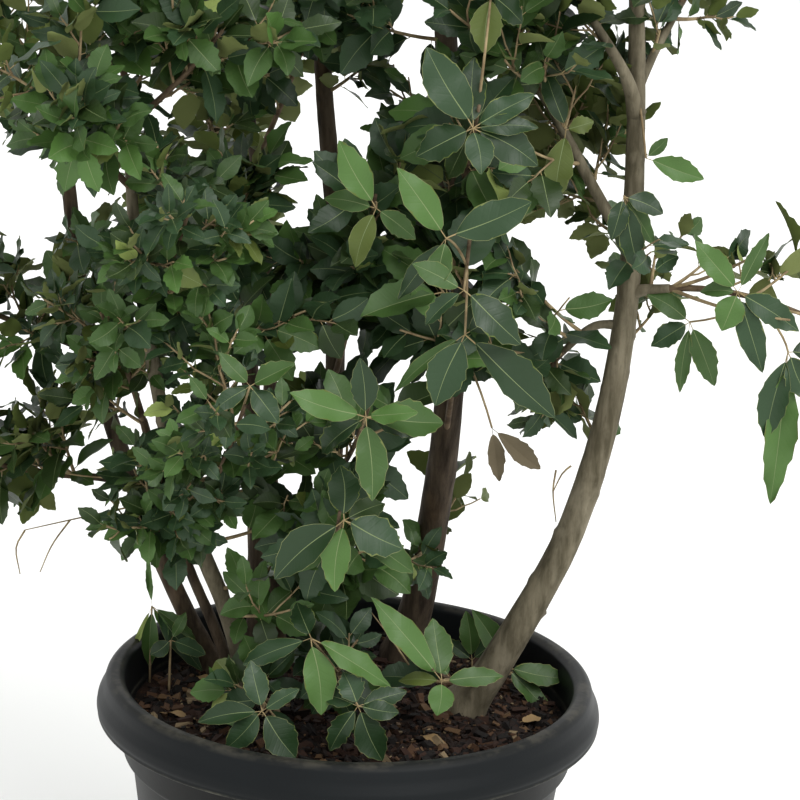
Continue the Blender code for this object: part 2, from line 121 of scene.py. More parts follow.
room = bpy.data.worlds.new("white_room")
room.use_nodes = True
room.node_tree.nodes["Background"].inputs["Color"].default_value = colour("#fdfefe")
room.node_tree.nodes["Background"].inputs["Strength"].default_value = ROOM_LIGHT
bpy.context.scene.world = room
bpy.context.scene.view_settings.view_transform = "Standard"
lamp = new_object("lamp", bpy.data.lights.new("lamp", "SUN"))
lamp.data.energy = LAMP_LIGHT
lamp.data.angle = LAMP_SPREAD
lamp.rotation_mode = "QUATERNION"
lamp.rotation_quaternion = LAMP_FROM.to_track_quat("Z", "Y")

# Pot
# A 35-litre nursery container, injection moulded in charcoal polypropylene: a tapering wall, a step, and a
# collar turned down over it as a lip. Use has left dust on the crest and on the lip's lower edge, scuffs on
# the lip and a thin brown film on the wall.
POT_SIDES = 192
LIP_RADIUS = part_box("pot")[1].x / MM
POT_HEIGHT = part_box("pot")[1].z / MM
LIP_FOOT = POT_HEIGHT - 37
BAND_FOOT = LIP_FOOT - 38
CREST_RADIUS = LIP_RADIUS - 10
MOUTH_RADIUS = LIP_RADIUS - 24
STEP_IN = 8
BASE_RADIUS = 160
WALL = 4
POT_FLOOR = 5
DRAIN_HOLES = 6
DRAIN_RADIUS = 8
DRAIN_CIRCLE = 115
DRAIN_SIDES = 24
CORNER = 2.2
CORNER_STEPS = 4
CORNER_MOST = 0.45
OUT_OF_ROUND = 0.8
BENDS_ROUND = 1.3
BENDS_UP = 90
SHARP = math.radians(30)
# The height over the lip's lower edge at which its worn line lies, and how far the wear reaches from it
WORN_LINE = 0.6
WORN_REACH = (2.4, 0.8)
POT_OUTLINE = [
    (BASE_RADIUS - 5, 0), (BASE_RADIUS, 4), (MOUTH_RADIUS - STEP_IN, BAND_FOOT - 3),
    (MOUTH_RADIUS, BAND_FOOT + 3), (MOUTH_RADIUS + 3, POT_HEIGHT - 8), (CREST_RADIUS - 3, POT_HEIGHT - 8),
    (LIP_RADIUS - 4, LIP_FOOT + 2), (LIP_RADIUS - 2.4, LIP_FOOT), (LIP_RADIUS - 0.8, LIP_FOOT + 1.2),
    (LIP_RADIUS - 1.6, LIP_FOOT + 3.4), (LIP_RADIUS, LIP_FOOT + 7), (LIP_RADIUS - 1, LIP_FOOT + 14),
    (LIP_RADIUS - 5.5, LIP_FOOT + 23), (CREST_RADIUS + 1.5, POT_HEIGHT - 4), (CREST_RADIUS - 3, POT_HEIGHT),
    (MOUTH_RADIUS + 4, POT_HEIGHT - 0.4), (MOUTH_RADIUS - 1, POT_HEIGHT - 5),
    (MOUTH_RADIUS - WALL, LIP_FOOT), (MOUTH_RADIUS - STEP_IN - WALL, BAND_FOOT - 3),
    (BASE_RADIUS - WALL - 1, POT_FLOOR),
]
# The Mix node's sockets for colours, and how wide the blotches of a noise of scale 1 are, in metres
SHARE = 0
UNDER = 6
OVER = 7
MIXED = 2
BLOTCH = 0.5


def set_inputs(finish, node, inputs):
    """Give a node's inputs their values, or link the sockets that feed them."""
    for name, value in inputs.items():
        if isinstance(value, bpy.types.NodeSocket):
            finish.node_tree.links.new(value, node.inputs[name])
        elif isinstance(value, str):
            node.inputs[name].default_value = colour(value)
        else:
            node.inputs[name].default_value = value


def add_node(finish, kind, output, inputs, **settings):
    """Add one node with its settings and links, and hand back the output that is asked for."""
    node = finish.node_tree.nodes.new("ShaderNode" + kind)
    for name, value in settings.items():
        setattr(node, name, value)
    set_inputs(finish, node, inputs)
    return node.outputs[output]


def grain(finish, size, stretch=(1, 1, 1), detail=3.0, roughness=0.55):
    """Grain on the object itself, so many millimetres wide and longer along an axis where told."""
    place = add_node(finish, "TexCoord", "Object", {})
    spread = add_node(finish, "Mapping", "Vector", {"Vector": place, "Scale": stretch})
    return add_node(finish, "TexNoise", "Fac", {"Vector": spread, "Scale": BLOTCH / (size * MM),
                                                "Detail": detail, "Roughness": roughness})


def blotches(finish, size, shown, shares=(0.0, 1.0), stretch=(1, 1, 1), detail=3.0, roughness=0.55):
    """Blotches of grain: the part of its range that shows, carried to shares of a colour or a roughness."""
    source = grain(finish, size, stretch, detail, roughness)
    return add_node(finish, "MapRange", "Result", {
        "Value": source, "From Min": shown[0], "From Max": shown[1],
        "To Min": shares[0], "To Max": shares[1]})


def rounded(outline, cut, steps):
    """An outline with each corner between its ends turned into a short curve."""
    corners = [Vector(point) for point in outline]
    line = [corners[0]]
    for before, corner, after in zip(corners, corners[1:], corners[2:]):
        start = corner.lerp(before, min(CORNER_MOST, cut / (before - corner).length))
        end = corner.lerp(after, min(CORNER_MOST, cut / (after - corner).length))
        for step in range(steps + 1):
            share = step / steps
            line.append(start.lerp(corner, share).lerp(corner.lerp(end, share), share))
    return [*line, corners[-1]]


def ring_faces(rings, sides):
    """The faces between rings of points."""
    return [(ring * sides + side, ring * sides + (side + 1) % sides,
             (ring + 1) * sides + (side + 1) % sides, (ring + 1) * sides + side)
            for ring in range(rings - 1) for side in range(sides)]


def end_faces(count, sides):
    """The two faces that close a tube of so many points."""
    return [tuple(reversed(range(sides))), tuple(range(count - sides, count))]


def new_mesh(name, points, faces):
    mesh = bpy.data.meshes.new(name)
    mesh.from_pydata(points, [], faces)
    return mesh


def pot_mesh():
    """The pot's wall, floor and lip, turned from the outline and a little out of round."""
    outline = rounded(POT_OUTLINE, CORNER, CORNER_STEPS)
    points = []
    for radius, height in outline:
        for side in range(POT_SIDES):
            angle = math.tau * side / POT_SIDES
            bend = Vector((math.cos(angle) * BENDS_ROUND, math.sin(angle) * BENDS_ROUND, height / BENDS_UP))
            wide = radius - OUT_OF_ROUND * abs(noise.noise(bend)) * radius / LIP_RADIUS
            points.append(Vector((wide * math.cos(angle), wide * math.sin(angle), height)) * MM)
    floor_face, inner_face = end_faces(len(points), POT_SIDES)
    return new_mesh("pot_shell", points, [floor_face, *ring_faces(len(outline), POT_SIDES), inner_face])


def drain_mesh():
    """Six short columns where the drain holes are cut."""
    points = []
    faces = []
    for hole in range(DRAIN_HOLES):
        angle = math.tau * (hole + 0.5) / DRAIN_HOLES
        start = len(points)
        for height in (-POT_FLOOR, POT_FLOOR * 2):
            for side in range(DRAIN_SIDES):
                turn = math.tau * side / DRAIN_SIDES
                x = DRAIN_CIRCLE * math.cos(angle) + DRAIN_RADIUS * math.cos(turn)
                y = DRAIN_CIRCLE * math.sin(angle) + DRAIN_RADIUS * math.sin(turn)
                points.append(Vector((x, y, height)) * MM)
        column = [*end_faces(DRAIN_SIDES * 2, DRAIN_SIDES), *ring_faces(2, DRAIN_SIDES)]
        faces += [tuple(start + index for index in face) for face in column]
    return new_mesh("drain_cutter", points, faces)


def moulded_polypropylene():
    """Charcoal plastic from a mould, with a blue cast: a soft shine that dust and wear break up."""
    finish, shader = new_finish("polypropylene_moulded_charcoal", "#0c0f12", 0.48, 0.16)
    height = add_node(finish, "SeparateXYZ", "Z", {"Vector": add_node(finish, "TexCoord", "Object", {})})
    film = blotches(finish, 70, (0.35, 0.7), (0.25, 0.75), (1, 1, 0.5), 4)
    worn = blotches(finish, 14, (0.45, 0.62), (0.15, 1), (1, 1, 3), 6, 0.65)
    scuffs = blotches(finish, 9, (0.68, 0.76), (0, 0.3), (1, 1, 2.2), 8, 0.7)
    wall = add_node(finish, "MapRange", "Result", {"Value": height, "From Min": (LIP_FOOT + 2) * MM,
                                                   "From Max": (LIP_FOOT - 2) * MM})
    crest = add_node(finish, "MapRange", "Result", {"Value": height, "From Min": (POT_HEIGHT - 5) * MM,
                                                    "From Max": (POT_HEIGHT - 0.5) * MM})
    from_line = add_node(finish, "Math", "Value", {0: height, 1: (LIP_FOOT + WORN_LINE) * MM},
                         operation="SUBTRACT")
    from_line = add_node(finish, "Math", "Value", {0: from_line}, operation="ABSOLUTE")
    edge = add_node(finish, "MapRange", "Result", {"Value": from_line, "From Min": WORN_REACH[0] * MM,
                                                   "From Max": WORN_REACH[1] * MM})
    dirt = add_node(finish, "MapRange", "Result", {"Value": film, "From Min": 0.25, "From Max": 0.75,
                                                   "To Min": 0.7, "To Max": 0.9})
    base = add_node(finish, "Mix", MIXED, {SHARE: film, UNDER: "#080b0d", OVER: "#121618"}, data_type="RGBA")
    for mask, share, stain in ((wall, dirt, "#171716"), (crest, worn, "#3c3a33"), (edge, worn, "#4a4940")):
        share = add_node(finish, "Math", "Value", {0: mask, 1: share}, operation="MULTIPLY")
        base = add_node(finish, "Mix", MIXED, {SHARE: share, UNDER: base, OVER: stain}, data_type="RGBA")
    base = add_node(finish, "Mix", MIXED, {SHARE: scuffs, UNDER: base, OVER: "#5d5a50"}, data_type="RGBA")
    # Drawn coarser than the mould's own grain, which is too fine to show
    moulding = add_node(finish, "Bump", "Normal", {"Height": grain(finish, 1.6, detail=2),
                                                   "Distance": 0.15 * MM, "Strength": 0.4})
    rubbed = add_node(finish, "Bump", "Normal", {"Height": grain(finish, 22, (1, 1, 4), 6, 0.7),
                                                 "Distance": 0.5 * MM, "Strength": 0.35, "Normal": moulding})
    shine = add_node(finish, "MapRange", "Result", {"Value": film, "To Min": 0.38, "To Max": 0.62})
    set_inputs(finish, shader, {"Base Color": base, "Normal": rubbed, "Roughness": shine})
    return finish


pot_shell = new_object("pot_shell", pot_mesh())
drains = new_object("drain_cutter", drain_mesh())
cut = pot_shell.modifiers.new("drain_holes", "BOOLEAN")
cut.object = drains
bpy.context.view_layer.update()
drilled = pot_shell.evaluated_get(bpy.context.evaluated_depsgraph_get())
pot_shell.data = bpy.data.meshes.new_from_object(drilled)
pot_shell.modifiers.clear()
bpy.data.objects.remove(drains, do_unlink=True)
pot_shell.data.shade_smooth()
pot_shell.data.set_sharp_from_angle(angle=SHARP)
pot_shell.data.materials.clear()
pot_shell.data.materials.append(moulded_polypropylene())
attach(pot_shell, "root")
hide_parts("pot")

# Compost
# Composted pine bark that fills the pot to 40 mm under its crest: a crumbly dark brown bed, with chips of
# bark from crumbs to thumbnails lying loose on it.
SOIL_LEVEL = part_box("soil")[1].z / MM
SOIL_RADIUS = MOUTH_RADIUS - WALL - 0.8
BED_RINGS = 70
BED_SIDES = 160
BED_DEPTH = 60
BED_TAPER = 7
BED_SETTLED = 2
HEAVE = 5.0
HEAVE_WIDTH = 60
CRUMB = 2.2
CRUMB_WIDTH = 9
CHIPS = 5200
CHIP_SEED = 11
CHIP_LENGTH = (3, 17)
CHIP_WIDTH = (0.4, 0.8)
CHIP_THICKNESS = (0.18, 0.45)
CHIP_CORNER = (0.5, 1.1)
CHIP_FACE = (0.6, 1.1)
CHIP_TILT = (0.5, 0.35)
CHIP_LIFT = 2.4
CHIP_CLEAR = 9
CHIP_SIDES = [(0, 1, 3, 2), (4, 6, 7, 5), (0, 4, 5, 1), (2, 3, 7, 6), (0, 2, 6, 4), (1, 5, 7, 3)]
# Each tone of bark chip, and how many of every 30 chips have it
CHIP_TONES = (("#1f1510", 9), ("#2f1d14", 7), ("#46301f", 3), ("#120d0a", 8), ("#5c4630", 2), ("#7d6c52", 1))


def bed_height(x, y):
    """How high the compost lies, in millimetres, at a place that is given in millimetres."""
    rolling = noise.noise(Vector((x / HEAVE_WIDTH, y / HEAVE_WIDTH, 3.7)))
    crumbs = noise.fractal(Vector((x / CRUMB_WIDTH, y / CRUMB_WIDTH, 1.2)), 1.0, 2.0, 3)
    return SOIL_LEVEL - BED_SETTLED + rolling * HEAVE + crumbs * CRUMB


def compost_mesh():
    """The bed as rings from its middle out to the pot's wall, and down to a flat underside."""
    turns = [math.tau * side / BED_SIDES for side in range(BED_SIDES)]
    points = []
    for ring in range(BED_RINGS):
        radius = SOIL_RADIUS * (ring + 1) / BED_RINGS
        for angle in turns:
            x, y = radius * math.cos(angle), radius * math.sin(angle)
            points.append(Vector((x, y, bed_height(x, y))) * MM)
    lowest = SOIL_RADIUS - BED_TAPER
    points += [Vector((lowest * math.cos(angle), lowest * math.sin(angle), SOIL_LEVEL - BED_DEPTH)) * MM
               for angle in turns]
    rings = [tuple(reversed(face)) for face in ring_faces(BED_RINGS + 1, BED_SIDES)]
    middle, underside = (tuple(reversed(face)) for face in end_faces(len(points), BED_SIDES))
    mesh = new_mesh("compost", points, [middle, *rings, underside])
    mesh.shade_smooth()
    return mesh


def crumbled_compost():
    """Moist crumbs of composted bark: dark brown, reddish in places, with no shine."""
    finish, shader = new_finish("bark_compost_crumbled", "#2a1b12", 0.95, 0.2)
    lumps = blotches(finish, 12, (0.4, 0.62), detail=6)
    flecks = blotches(finish, 3, (0.6, 0.7), detail=4)
    base = add_node(finish, "Mix", MIXED, {SHARE: lumps, UNDER: "#100b08", OVER: "#2c1c13"}, data_type="RGBA")
    base = add_node(finish, "Mix", MIXED, {SHARE: flecks, UNDER: base, OVER: "#4a3423"}, data_type="RGBA")
    crumbs = add_node(finish, "Bump", "Normal", {"Height": grain(finish, 2.5, detail=6), "Distance": 2 * MM,
                                                 "Strength": 0.9})
    set_inputs(finish, shader, {"Base Color": base, "Normal": crumbs})
    return finish


def chip_corners(rng):
    """The eight uneven corners of a broken flake of bark. Most flakes are small."""
    shortest, longest = CHIP_LENGTH
    length = rng.uniform(0, 1) ** 3 * (longest - shortest) + shortest
    half = Vector((length, length * rng.uniform(*CHIP_WIDTH), length * rng.uniform(*CHIP_THICKNESS))) / 2
    return [Vector((x * half.x * rng.uniform(*CHIP_CORNER), y * half.y * rng.uniform(*CHIP_CORNER),
                    z * half.z * rng.uniform(*CHIP_FACE))) for x in (-1, 1) for y in (-1, 1) for z in (-1, 1)]


def chips_mesh():
    """All the chips as one mesh, each lying on the bed at its own slant."""
    rng = random.Random(CHIP_SEED)
    points, faces, slots = [], [], []
    tones = [tone for tone, (_, share) in enumerate(CHIP_TONES) for _ in range(share)]
    for _ in range(CHIPS):
        radius = (SOIL_RADIUS - CHIP_CLEAR) * math.sqrt(rng.random())
        angle = rng.uniform(0, math.tau)
        x, y = radius * math.cos(angle), radius * math.sin(angle)
        corners = chip_corners(rng)
        lie = Matrix.Rotation(rng.uniform(0, math.tau), 3, "Z")
        lie = lie @ Matrix.Rotation(rng.gauss(0, CHIP_TILT[0]), 3, "X")
        lie = lie @ Matrix.Rotation(rng.gauss(0, CHIP_TILT[1]), 3, "Y")
        seat = Vector((x, y, bed_height(x, y) + rng.uniform(0, CHIP_LIFT)))
        start = len(points)
        points += [(seat + lie @ corner) * MM for corner in corners]
        faces += [tuple(start + index for index in side) for side in CHIP_SIDES]
        slots += [rng.choice(tones)] * len(CHIP_SIDES)
    mesh = new_mesh("bark_chips", points, faces)
    mesh.polygons.foreach_set("material_index", slots)
    return mesh


def broken_bark(number, base):
    """Dry or moist flakes of pine bark: matt, with a fibrous face where they broke."""
    finish, shader = new_finish(f"pine_bark_flake_{number}", base, 0.85, 0.3)
    fibres = add_node(finish, "Bump", "Normal", {"Height": grain(finish, 1.2, (1, 1, 3)),
                                                 "Distance": 0.5 * MM, "Strength": 0.8})
    dullness = blotches(finish, 5, (0.3, 0.7), (0.7, 0.95))
    set_inputs(finish, shader, {"Normal": fibres, "Roughness": dullness})
    return finish


compost = new_object("compost", compost_mesh(), crumbled_compost())
bark_chips = new_object("bark_chips", chips_mesh(),
                        *[broken_bark(number, base) for number, (base, _) in enumerate(CHIP_TONES)])
for piece in (compost, bark_chips):
    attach(piece, "root")
    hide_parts("soil")

# Stems and boughs
# Eight stems of one clump and the boughs that leave them. Holm oak bark on wood this young is smooth and
# thin, grey-brown to olive, with fine lengthwise cracks, ringed scars and knots.
UP = Vector((0, 0, 1))
FLARE_SHARE = 0.45
FLARE_HEIGHT = 22
COLLAR_SHARE = 0.5
COLLAR_REACH = 1.2
BARK_RING = 4.5
CURVE_STEPS = 24
STEM_SIDES = 30
BOUGH_SIDES = 18
SUNK = 9
CRACK_DEPTH = 0.45
CRACK_LENGTH = 42
CRACKS_ROUND = 3.1
SWELLING = 0.05
SWELLING_LENGTH = 75
SWELLINGS_ROUND = 0.7
SCARS = 24
SCAR_SPACING = 55
SCAR_REACH = 9
SCAR_WIDTH = 3.5
SCAR_HEIGHT = 0.05
KNOT_REACH = 2
KNOT_WIDTH = 0.45

Limb = namedtuple("Limb", "carrier height foot tip points")
STEMS = {
    "stem_far_left": Limb(None, None, 18, 9, [
        (-129, 78, 320), (-192, 90, 449), (-252, 105, 619), (-286, 120, 846), (-310, 140, 1150)]),
    "stem_thin": Limb(None, None, 11, 7, [
        (-106, 40, 320), (-127, 35, 380), (-149, 30, 433), (-170, 10, 500), (-190, -20, 590)]),
    "stem_front_left": Limb(None, None, 17, 8, [
        (-90, 10, 320), (-112, -5, 406), (-157, -40, 542), (-187, -80, 723), (-200, -90, 880)]),
    "stem_dark": Limb(None, None, 20, 10, [
        (-94, 131, 320), (-94, 125, 414), (-113, 120, 670), (-150, 110, 883), (-177, 100, 1220)]),
    "stem_rear": Limb(None, None, 16, 8, [
        (-76, 163, 320), (-84, 170, 432), (-96, 175, 690), (-135, 200, 950), (-150, 210, 1080)]),
    "stem_middle": Limb(None, None, 21, 11, [
        (-22, 119, 320), (-24, 105, 429), (-29, 100, 720), (-50, 100, 955), (-49, 70, 1370)]),
    "stem_tall": Limb(None, None, 33, 12, [
        (51, 146, 320), (68, 120, 418), (82, 90, 600), (72, 70, 808), (50, 50, 1044), (25, 20, 1290)]),
    "stem_right": Limb(None, None, 31, 9, [
        (105, 12, 320), (140, 0, 383), (195, -10, 512), (225, -10, 668), (227, 0, 841), (210, 20, 1120)]),
}
BOUGHS = {
    "bough_tall_side": Limb("stem_tall", 790, 11, 7, [(84, 84, 864), (85, 104, 980), (92, 120, 1130)]),
    "bough_right_inner": Limb("stem_right", 752, 11, 7, [(194, 0, 806), (162, 10, 859), (118, 20, 925)]),
    "bough_right_left_fork": Limb("stem_right", 872, 12, 7, [(212, -12, 905), (180, -26, 950)]),
    "bough_right_right_fork": Limb("stem_right", 892, 8, 6, [(240, 12, 926), (262, 28, 968)]),
    "bough_right_low": Limb("stem_right", 690, 8, 6, [(200, -2, 686), (176, 8, 660)]),
    "bough_right_side": Limb("stem_right", 716, 10, 7, [(240, -14, 722), (262, -22, 726)]),
    "bough_left_upper": Limb("stem_far_left", 618, 8, 6, [(-268, 98, 630), (-285, 92, 638)]),
    "bough_left_lower": Limb("stem_far_left", 500, 7, 6, [(-240, 90, 506), (-265, 82, 509)]),
}
# Knots and stubs that show in the photograph: pixel across, pixel down, height and width of the swelling
KNOTS = {
    "stem_right": [(545, 610, 7, 9), (560, 530, 3, 14), (606, 384, 6, 9),
                   (628, 268, 3, 14), (640, 96, 4, 12)],
    "stem_tall": [(452, 178, 3, 16), (440, 47, 4, 14), (428, 560, 3, 14)],
    "stem_middle": [(333, 330, 3, 12)],
    "stem_far_left": [(88, 330, 3, 10)],
    "stem_front_left": [(196, 560, 4, 10), (213, 580, 3, 9)],
}


def on_sight(across, down, depth):
    """The point on the line of sight through a pixel, at a depth of so many millimetres along +Y."""
    ray = forward + picture_right * (across - PICTURE / 2) / ZOOM + picture_up * (PICTURE / 2 - down) / ZOOM
    return EYE + ray * ((depth * MM - EYE.y) / ray.y)


def even_path(fine, spacing):
    """Points at even spacing along a line of many points."""
    line = np.array([tuple(point) for point in fine])
    lengths = np.concatenate([[0], np.cumsum(np.linalg.norm(np.diff(line, axis=0), axis=1))])
    count = max(2, round(lengths[-1] / spacing))
    places = np.linspace(0, lengths[-1], count + 1)
    return [Vector(point) for point in zip(*(np.interp(places, lengths, line[:, axis]) for axis in range(3)))]


def smooth_path(points, spacing):
    """A smooth curve through the given points."""
    ends = [points[0] * 2 - points[1], *points, points[-1] * 2 - points[-2]]
    fine = []
    for before, start, end, after in zip(ends, ends[1:], ends[2:], ends[3:]):
        for step in range(CURVE_STEPS):
            t = step / CURVE_STEPS
            fine.append(0.5 * (start * 2 + (end - before) * t
                               + (before * 2 - start * 5 + end * 4 - after) * t ** 2
                               + (start * 3 - before - end * 3 + after) * t ** 3))
    return even_path([*fine, points[-1]], spacing)


def bent_path(start, bend, end, steps):
    """A curve from one point to another that a third one pulls to itself."""
    shares = [step / steps for step in range(steps + 1)]
    return [start.lerp(bend, share).lerp(bend.lerp(end, share), share) for share in shares]


def tangents(path):
    inner = [(after - before).normalized() for before, after in zip(path, path[2:])]
    return [(path[1] - path[0]).normalized(), *inner, (path[-1] - path[-2]).normalized()]


def point_at_height(path, height):
    for start, end in zip(path, path[1:]):
        if start.z <= height <= end.z:
            return start.lerp(end, (height - start.z) / (end.z - start.z))
    raise ValueError("no point of the limb lies at this height")


def limb_paths():
    """The smooth line of every stem and bough, by the solids' own rule and in shorter steps."""
    paths = {}
    for name, stem in STEMS.items():
        paths[name] = smooth_path([Vector(point) * MM for point in stem.points], BARK_RING * MM)
    for name, bough in BOUGHS.items():
        root = point_at_height(paths[bough.carrier], bough.height * MM)
        paths[name] = smooth_path([root, *[Vector(point) * MM for point in bough.points]], BARK_RING * MM)
    return paths


def limb_radius(limb, share, travelled):
    """The limb's radius in millimetres at a share of its length, with the flare or collar at its foot."""
    radius = (limb.foot + (limb.tip - limb.foot) * share) / 2
    flare = FLARE_SHARE if limb.carrier is None else COLLAR_SHARE
    spread = FLARE_HEIGHT if limb.carrier is None else limb.foot * COLLAR_REACH
    return radius * (1 + flare * math.exp(-travelled / spread))


def knots_of(name, path):
    """Each knot's place on the limb's own line, the way it faces, its height and its width."""
    found = []
    for across, down, high, wide in KNOTS.get(name, []):
        place = on_sight(across, down, path[0].y / MM)
        centre = min(path, key=lambda point: (point - place).length)
        found.append((centre, place, high, wide))
    return found


def bark_mesh(name, limb, path):
    """A limb with the relief of its bark: cracks, swellings, ringed scars and knots."""
    rng = random.Random(name)
    is_stem = limb.carrier is None
    sides = STEM_SIDES if is_stem else BOUGH_SIDES
    if is_stem:
        path = [path[0] - UP * SUNK * MM, *path]
    directions = tangents(path)
    scars = [rng.uniform(0.4, 1.6) * SCAR_SPACING * (number + 0.5) for number in range(SCARS)]
    turns = [rng.uniform(0, math.tau) for _ in scars]
    knots = knots_of(name, path)
    side = directions[0].orthogonal().normalized()
    seed = rng.uniform(0, 100)
    points = []
    whole = (len(path) - 1) * BARK_RING
    for index, (middle, direction) in enumerate(zip(path, directions)):
        side = (side - direction * side.dot(direction)).normalized()
        other = direction.cross(side)
        travelled = index * BARK_RING
        radius = limb_radius(limb, travelled / whole, max(0.0, travelled - SUNK if is_stem else travelled))
        for number in range(sides):
            angle = math.tau * number / sides
            out = side * math.cos(angle) + other * math.sin(angle)
            crack = noise.fractal(Vector((out.x * CRACKS_ROUND, out.y * CRACKS_ROUND,
                                          travelled / CRACK_LENGTH + seed)), 0.8, 2.0, 3)
            swell = noise.noise(Vector((out.x * SWELLINGS_ROUND, out.y * SWELLINGS_ROUND,
                                        travelled / SWELLING_LENGTH + seed * 2)))
            reach = radius * (1 + SWELLING * swell) + crack * CRACK_DEPTH
            for scar, turn in zip(scars, turns):
                if abs(travelled - scar) < SCAR_REACH:
                    facing = 0.5 + 0.5 * math.cos(angle - turn)
                    ring = math.exp(-((travelled - scar) / SCAR_WIDTH) ** 2)
                    reach += SCAR_HEIGHT * limb.foot * facing ** 3 * ring
            for centre, place, high, wide in knots:
                away = middle - centre
                if away.length < wide * KNOT_REACH * MM:
                    towards = max(0.0, out.dot((place - centre).normalized()))
                    reach += high * towards ** 4 * math.exp(-(away.length / (wide * KNOT_WIDTH * MM)) ** 2)
            points.append(middle + out * reach * MM)
    mesh = new_mesh(name, points, [*ring_faces(len(path), sides), *end_faces(len(points), sides)])
    mesh.shade_smooth()
    return mesh


def young_bark(name, deep, pale, patch, most):
    """Smooth young oak bark: matt, streaked along the wood, cracked finely, with worn or lichened patches."""
    finish, shader = new_finish(name, pale, 0.85, 0.25)
    streaks = blotches(finish, 5, (0.36, 0.64), (0, 1), (1, 1, 0.16), 6, 0.6)
    worn = blotches(finish, 16, (0.5, 0.68), (0, most), (1, 1, 0.5), 5, 0.6)
    specks = blotches(finish, 1.8, (0.55, 0.75), (0, 0.55), (1, 1, 0.35))
    base = add_node(finish, "Mix", MIXED, {SHARE: streaks, UNDER: deep, OVER: pale}, data_type="RGBA")
    base = add_node(finish, "Mix", MIXED, {SHARE: worn, UNDER: base, OVER: patch}, data_type="RGBA")
    base = add_node(finish, "Mix", MIXED, {SHARE: specks, UNDER: base, OVER: deep}, data_type="RGBA")
    cracks = add_node(finish, "Bump", "Normal", {"Height": grain(finish, 2.4, (1, 1, 0.18), 5, 0.65),
                                                 "Distance": 0.9 * MM, "Strength": 0.8})
    # Drawn coarser than the skin's own grain, which is too fine to show
    skin = add_node(finish, "Bump", "Normal", {"Height": grain(finish, 0.9), "Distance": 0.3 * MM,
                                               "Strength": 0.6, "Normal": cracks})
    dullness = add_node(finish, "MapRange", "Result", {"Value": streaks, "To Min": 0.9, "To Max": 0.7})
    set_inputs(finish, shader, {"Base Color": base, "Normal": skin, "Roughness": dullness})
    return finish


brown_bark = young_bark("oak_bark_brown", "#2a221a", "#54483a", "#63503b", 0.5)
olive_bark = young_bark("oak_bark_olive", "#4a4434", "#736b58", "#857d6a", 0.6)
limbs = {**STEMS, **BOUGHS}
paths = limb_paths()
for name, limb in limbs.items():
    bark = olive_bark if "right" in name or name == "stem_front_left" else brown_bark
    stem = new_object("bark_" + name, bark_mesh(name, limb, paths[name]), bark)
    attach(stem, "root")
    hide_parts(name)

# Shoots and twigs
# Each mass of foliage has a shoot from its stem or bough, side twigs round that, and finer twigs along them.
# This is how they grow. Their wood is made after the leaves, when it is known which twigs bear any.
FINE_SEED = 1000
GOLDEN_ANGLE = math.radians(137.5)
TWIG_SPREAD = math.radians(55)
TWIG_LIFT = 0.2
FIRST_TWIG_ON_SIDE = 0.3
FIRST_TWIG_ON_TIP = 0.1
LAST_TWIG = 0.92
FINER = 3
SHOOT_STEPS = 12
SHOOT_PULL = 0.45
SHOOT_SAG = 0.12
SHOOT_SUNK = 2
TWIG_STEPS = 4
TWIG_WAVER = 0.03
TWIG_BEND = 0.14
TWIG_REACH = (0.95, 1.15)
BESIDE_REACH = (0.6, 1.08)
LEAF_ALLOWANCE = 0.7
TWIG_LEAST = 0.25
FINE_ALONG = (0.3, 0.55)
FINE_AHEAD = 0.65
FINE_ASIDE = 0.75
FINE_LENGTH = (0.8, 1.2)
FINE_SHARE = 0.8
FINE_LEAST = 0.35
SHOOT_RADIUS = (3.2, 1.5)
TWIG_RADIUS = (1.35, 0.95)
FINE_RADIUS = (0.95, 0.7)
# The shares of a shoot, a twig and a fine twig from which leaves stand on it
LEAVES_FROM = (0.62, 0.3, 0.25)

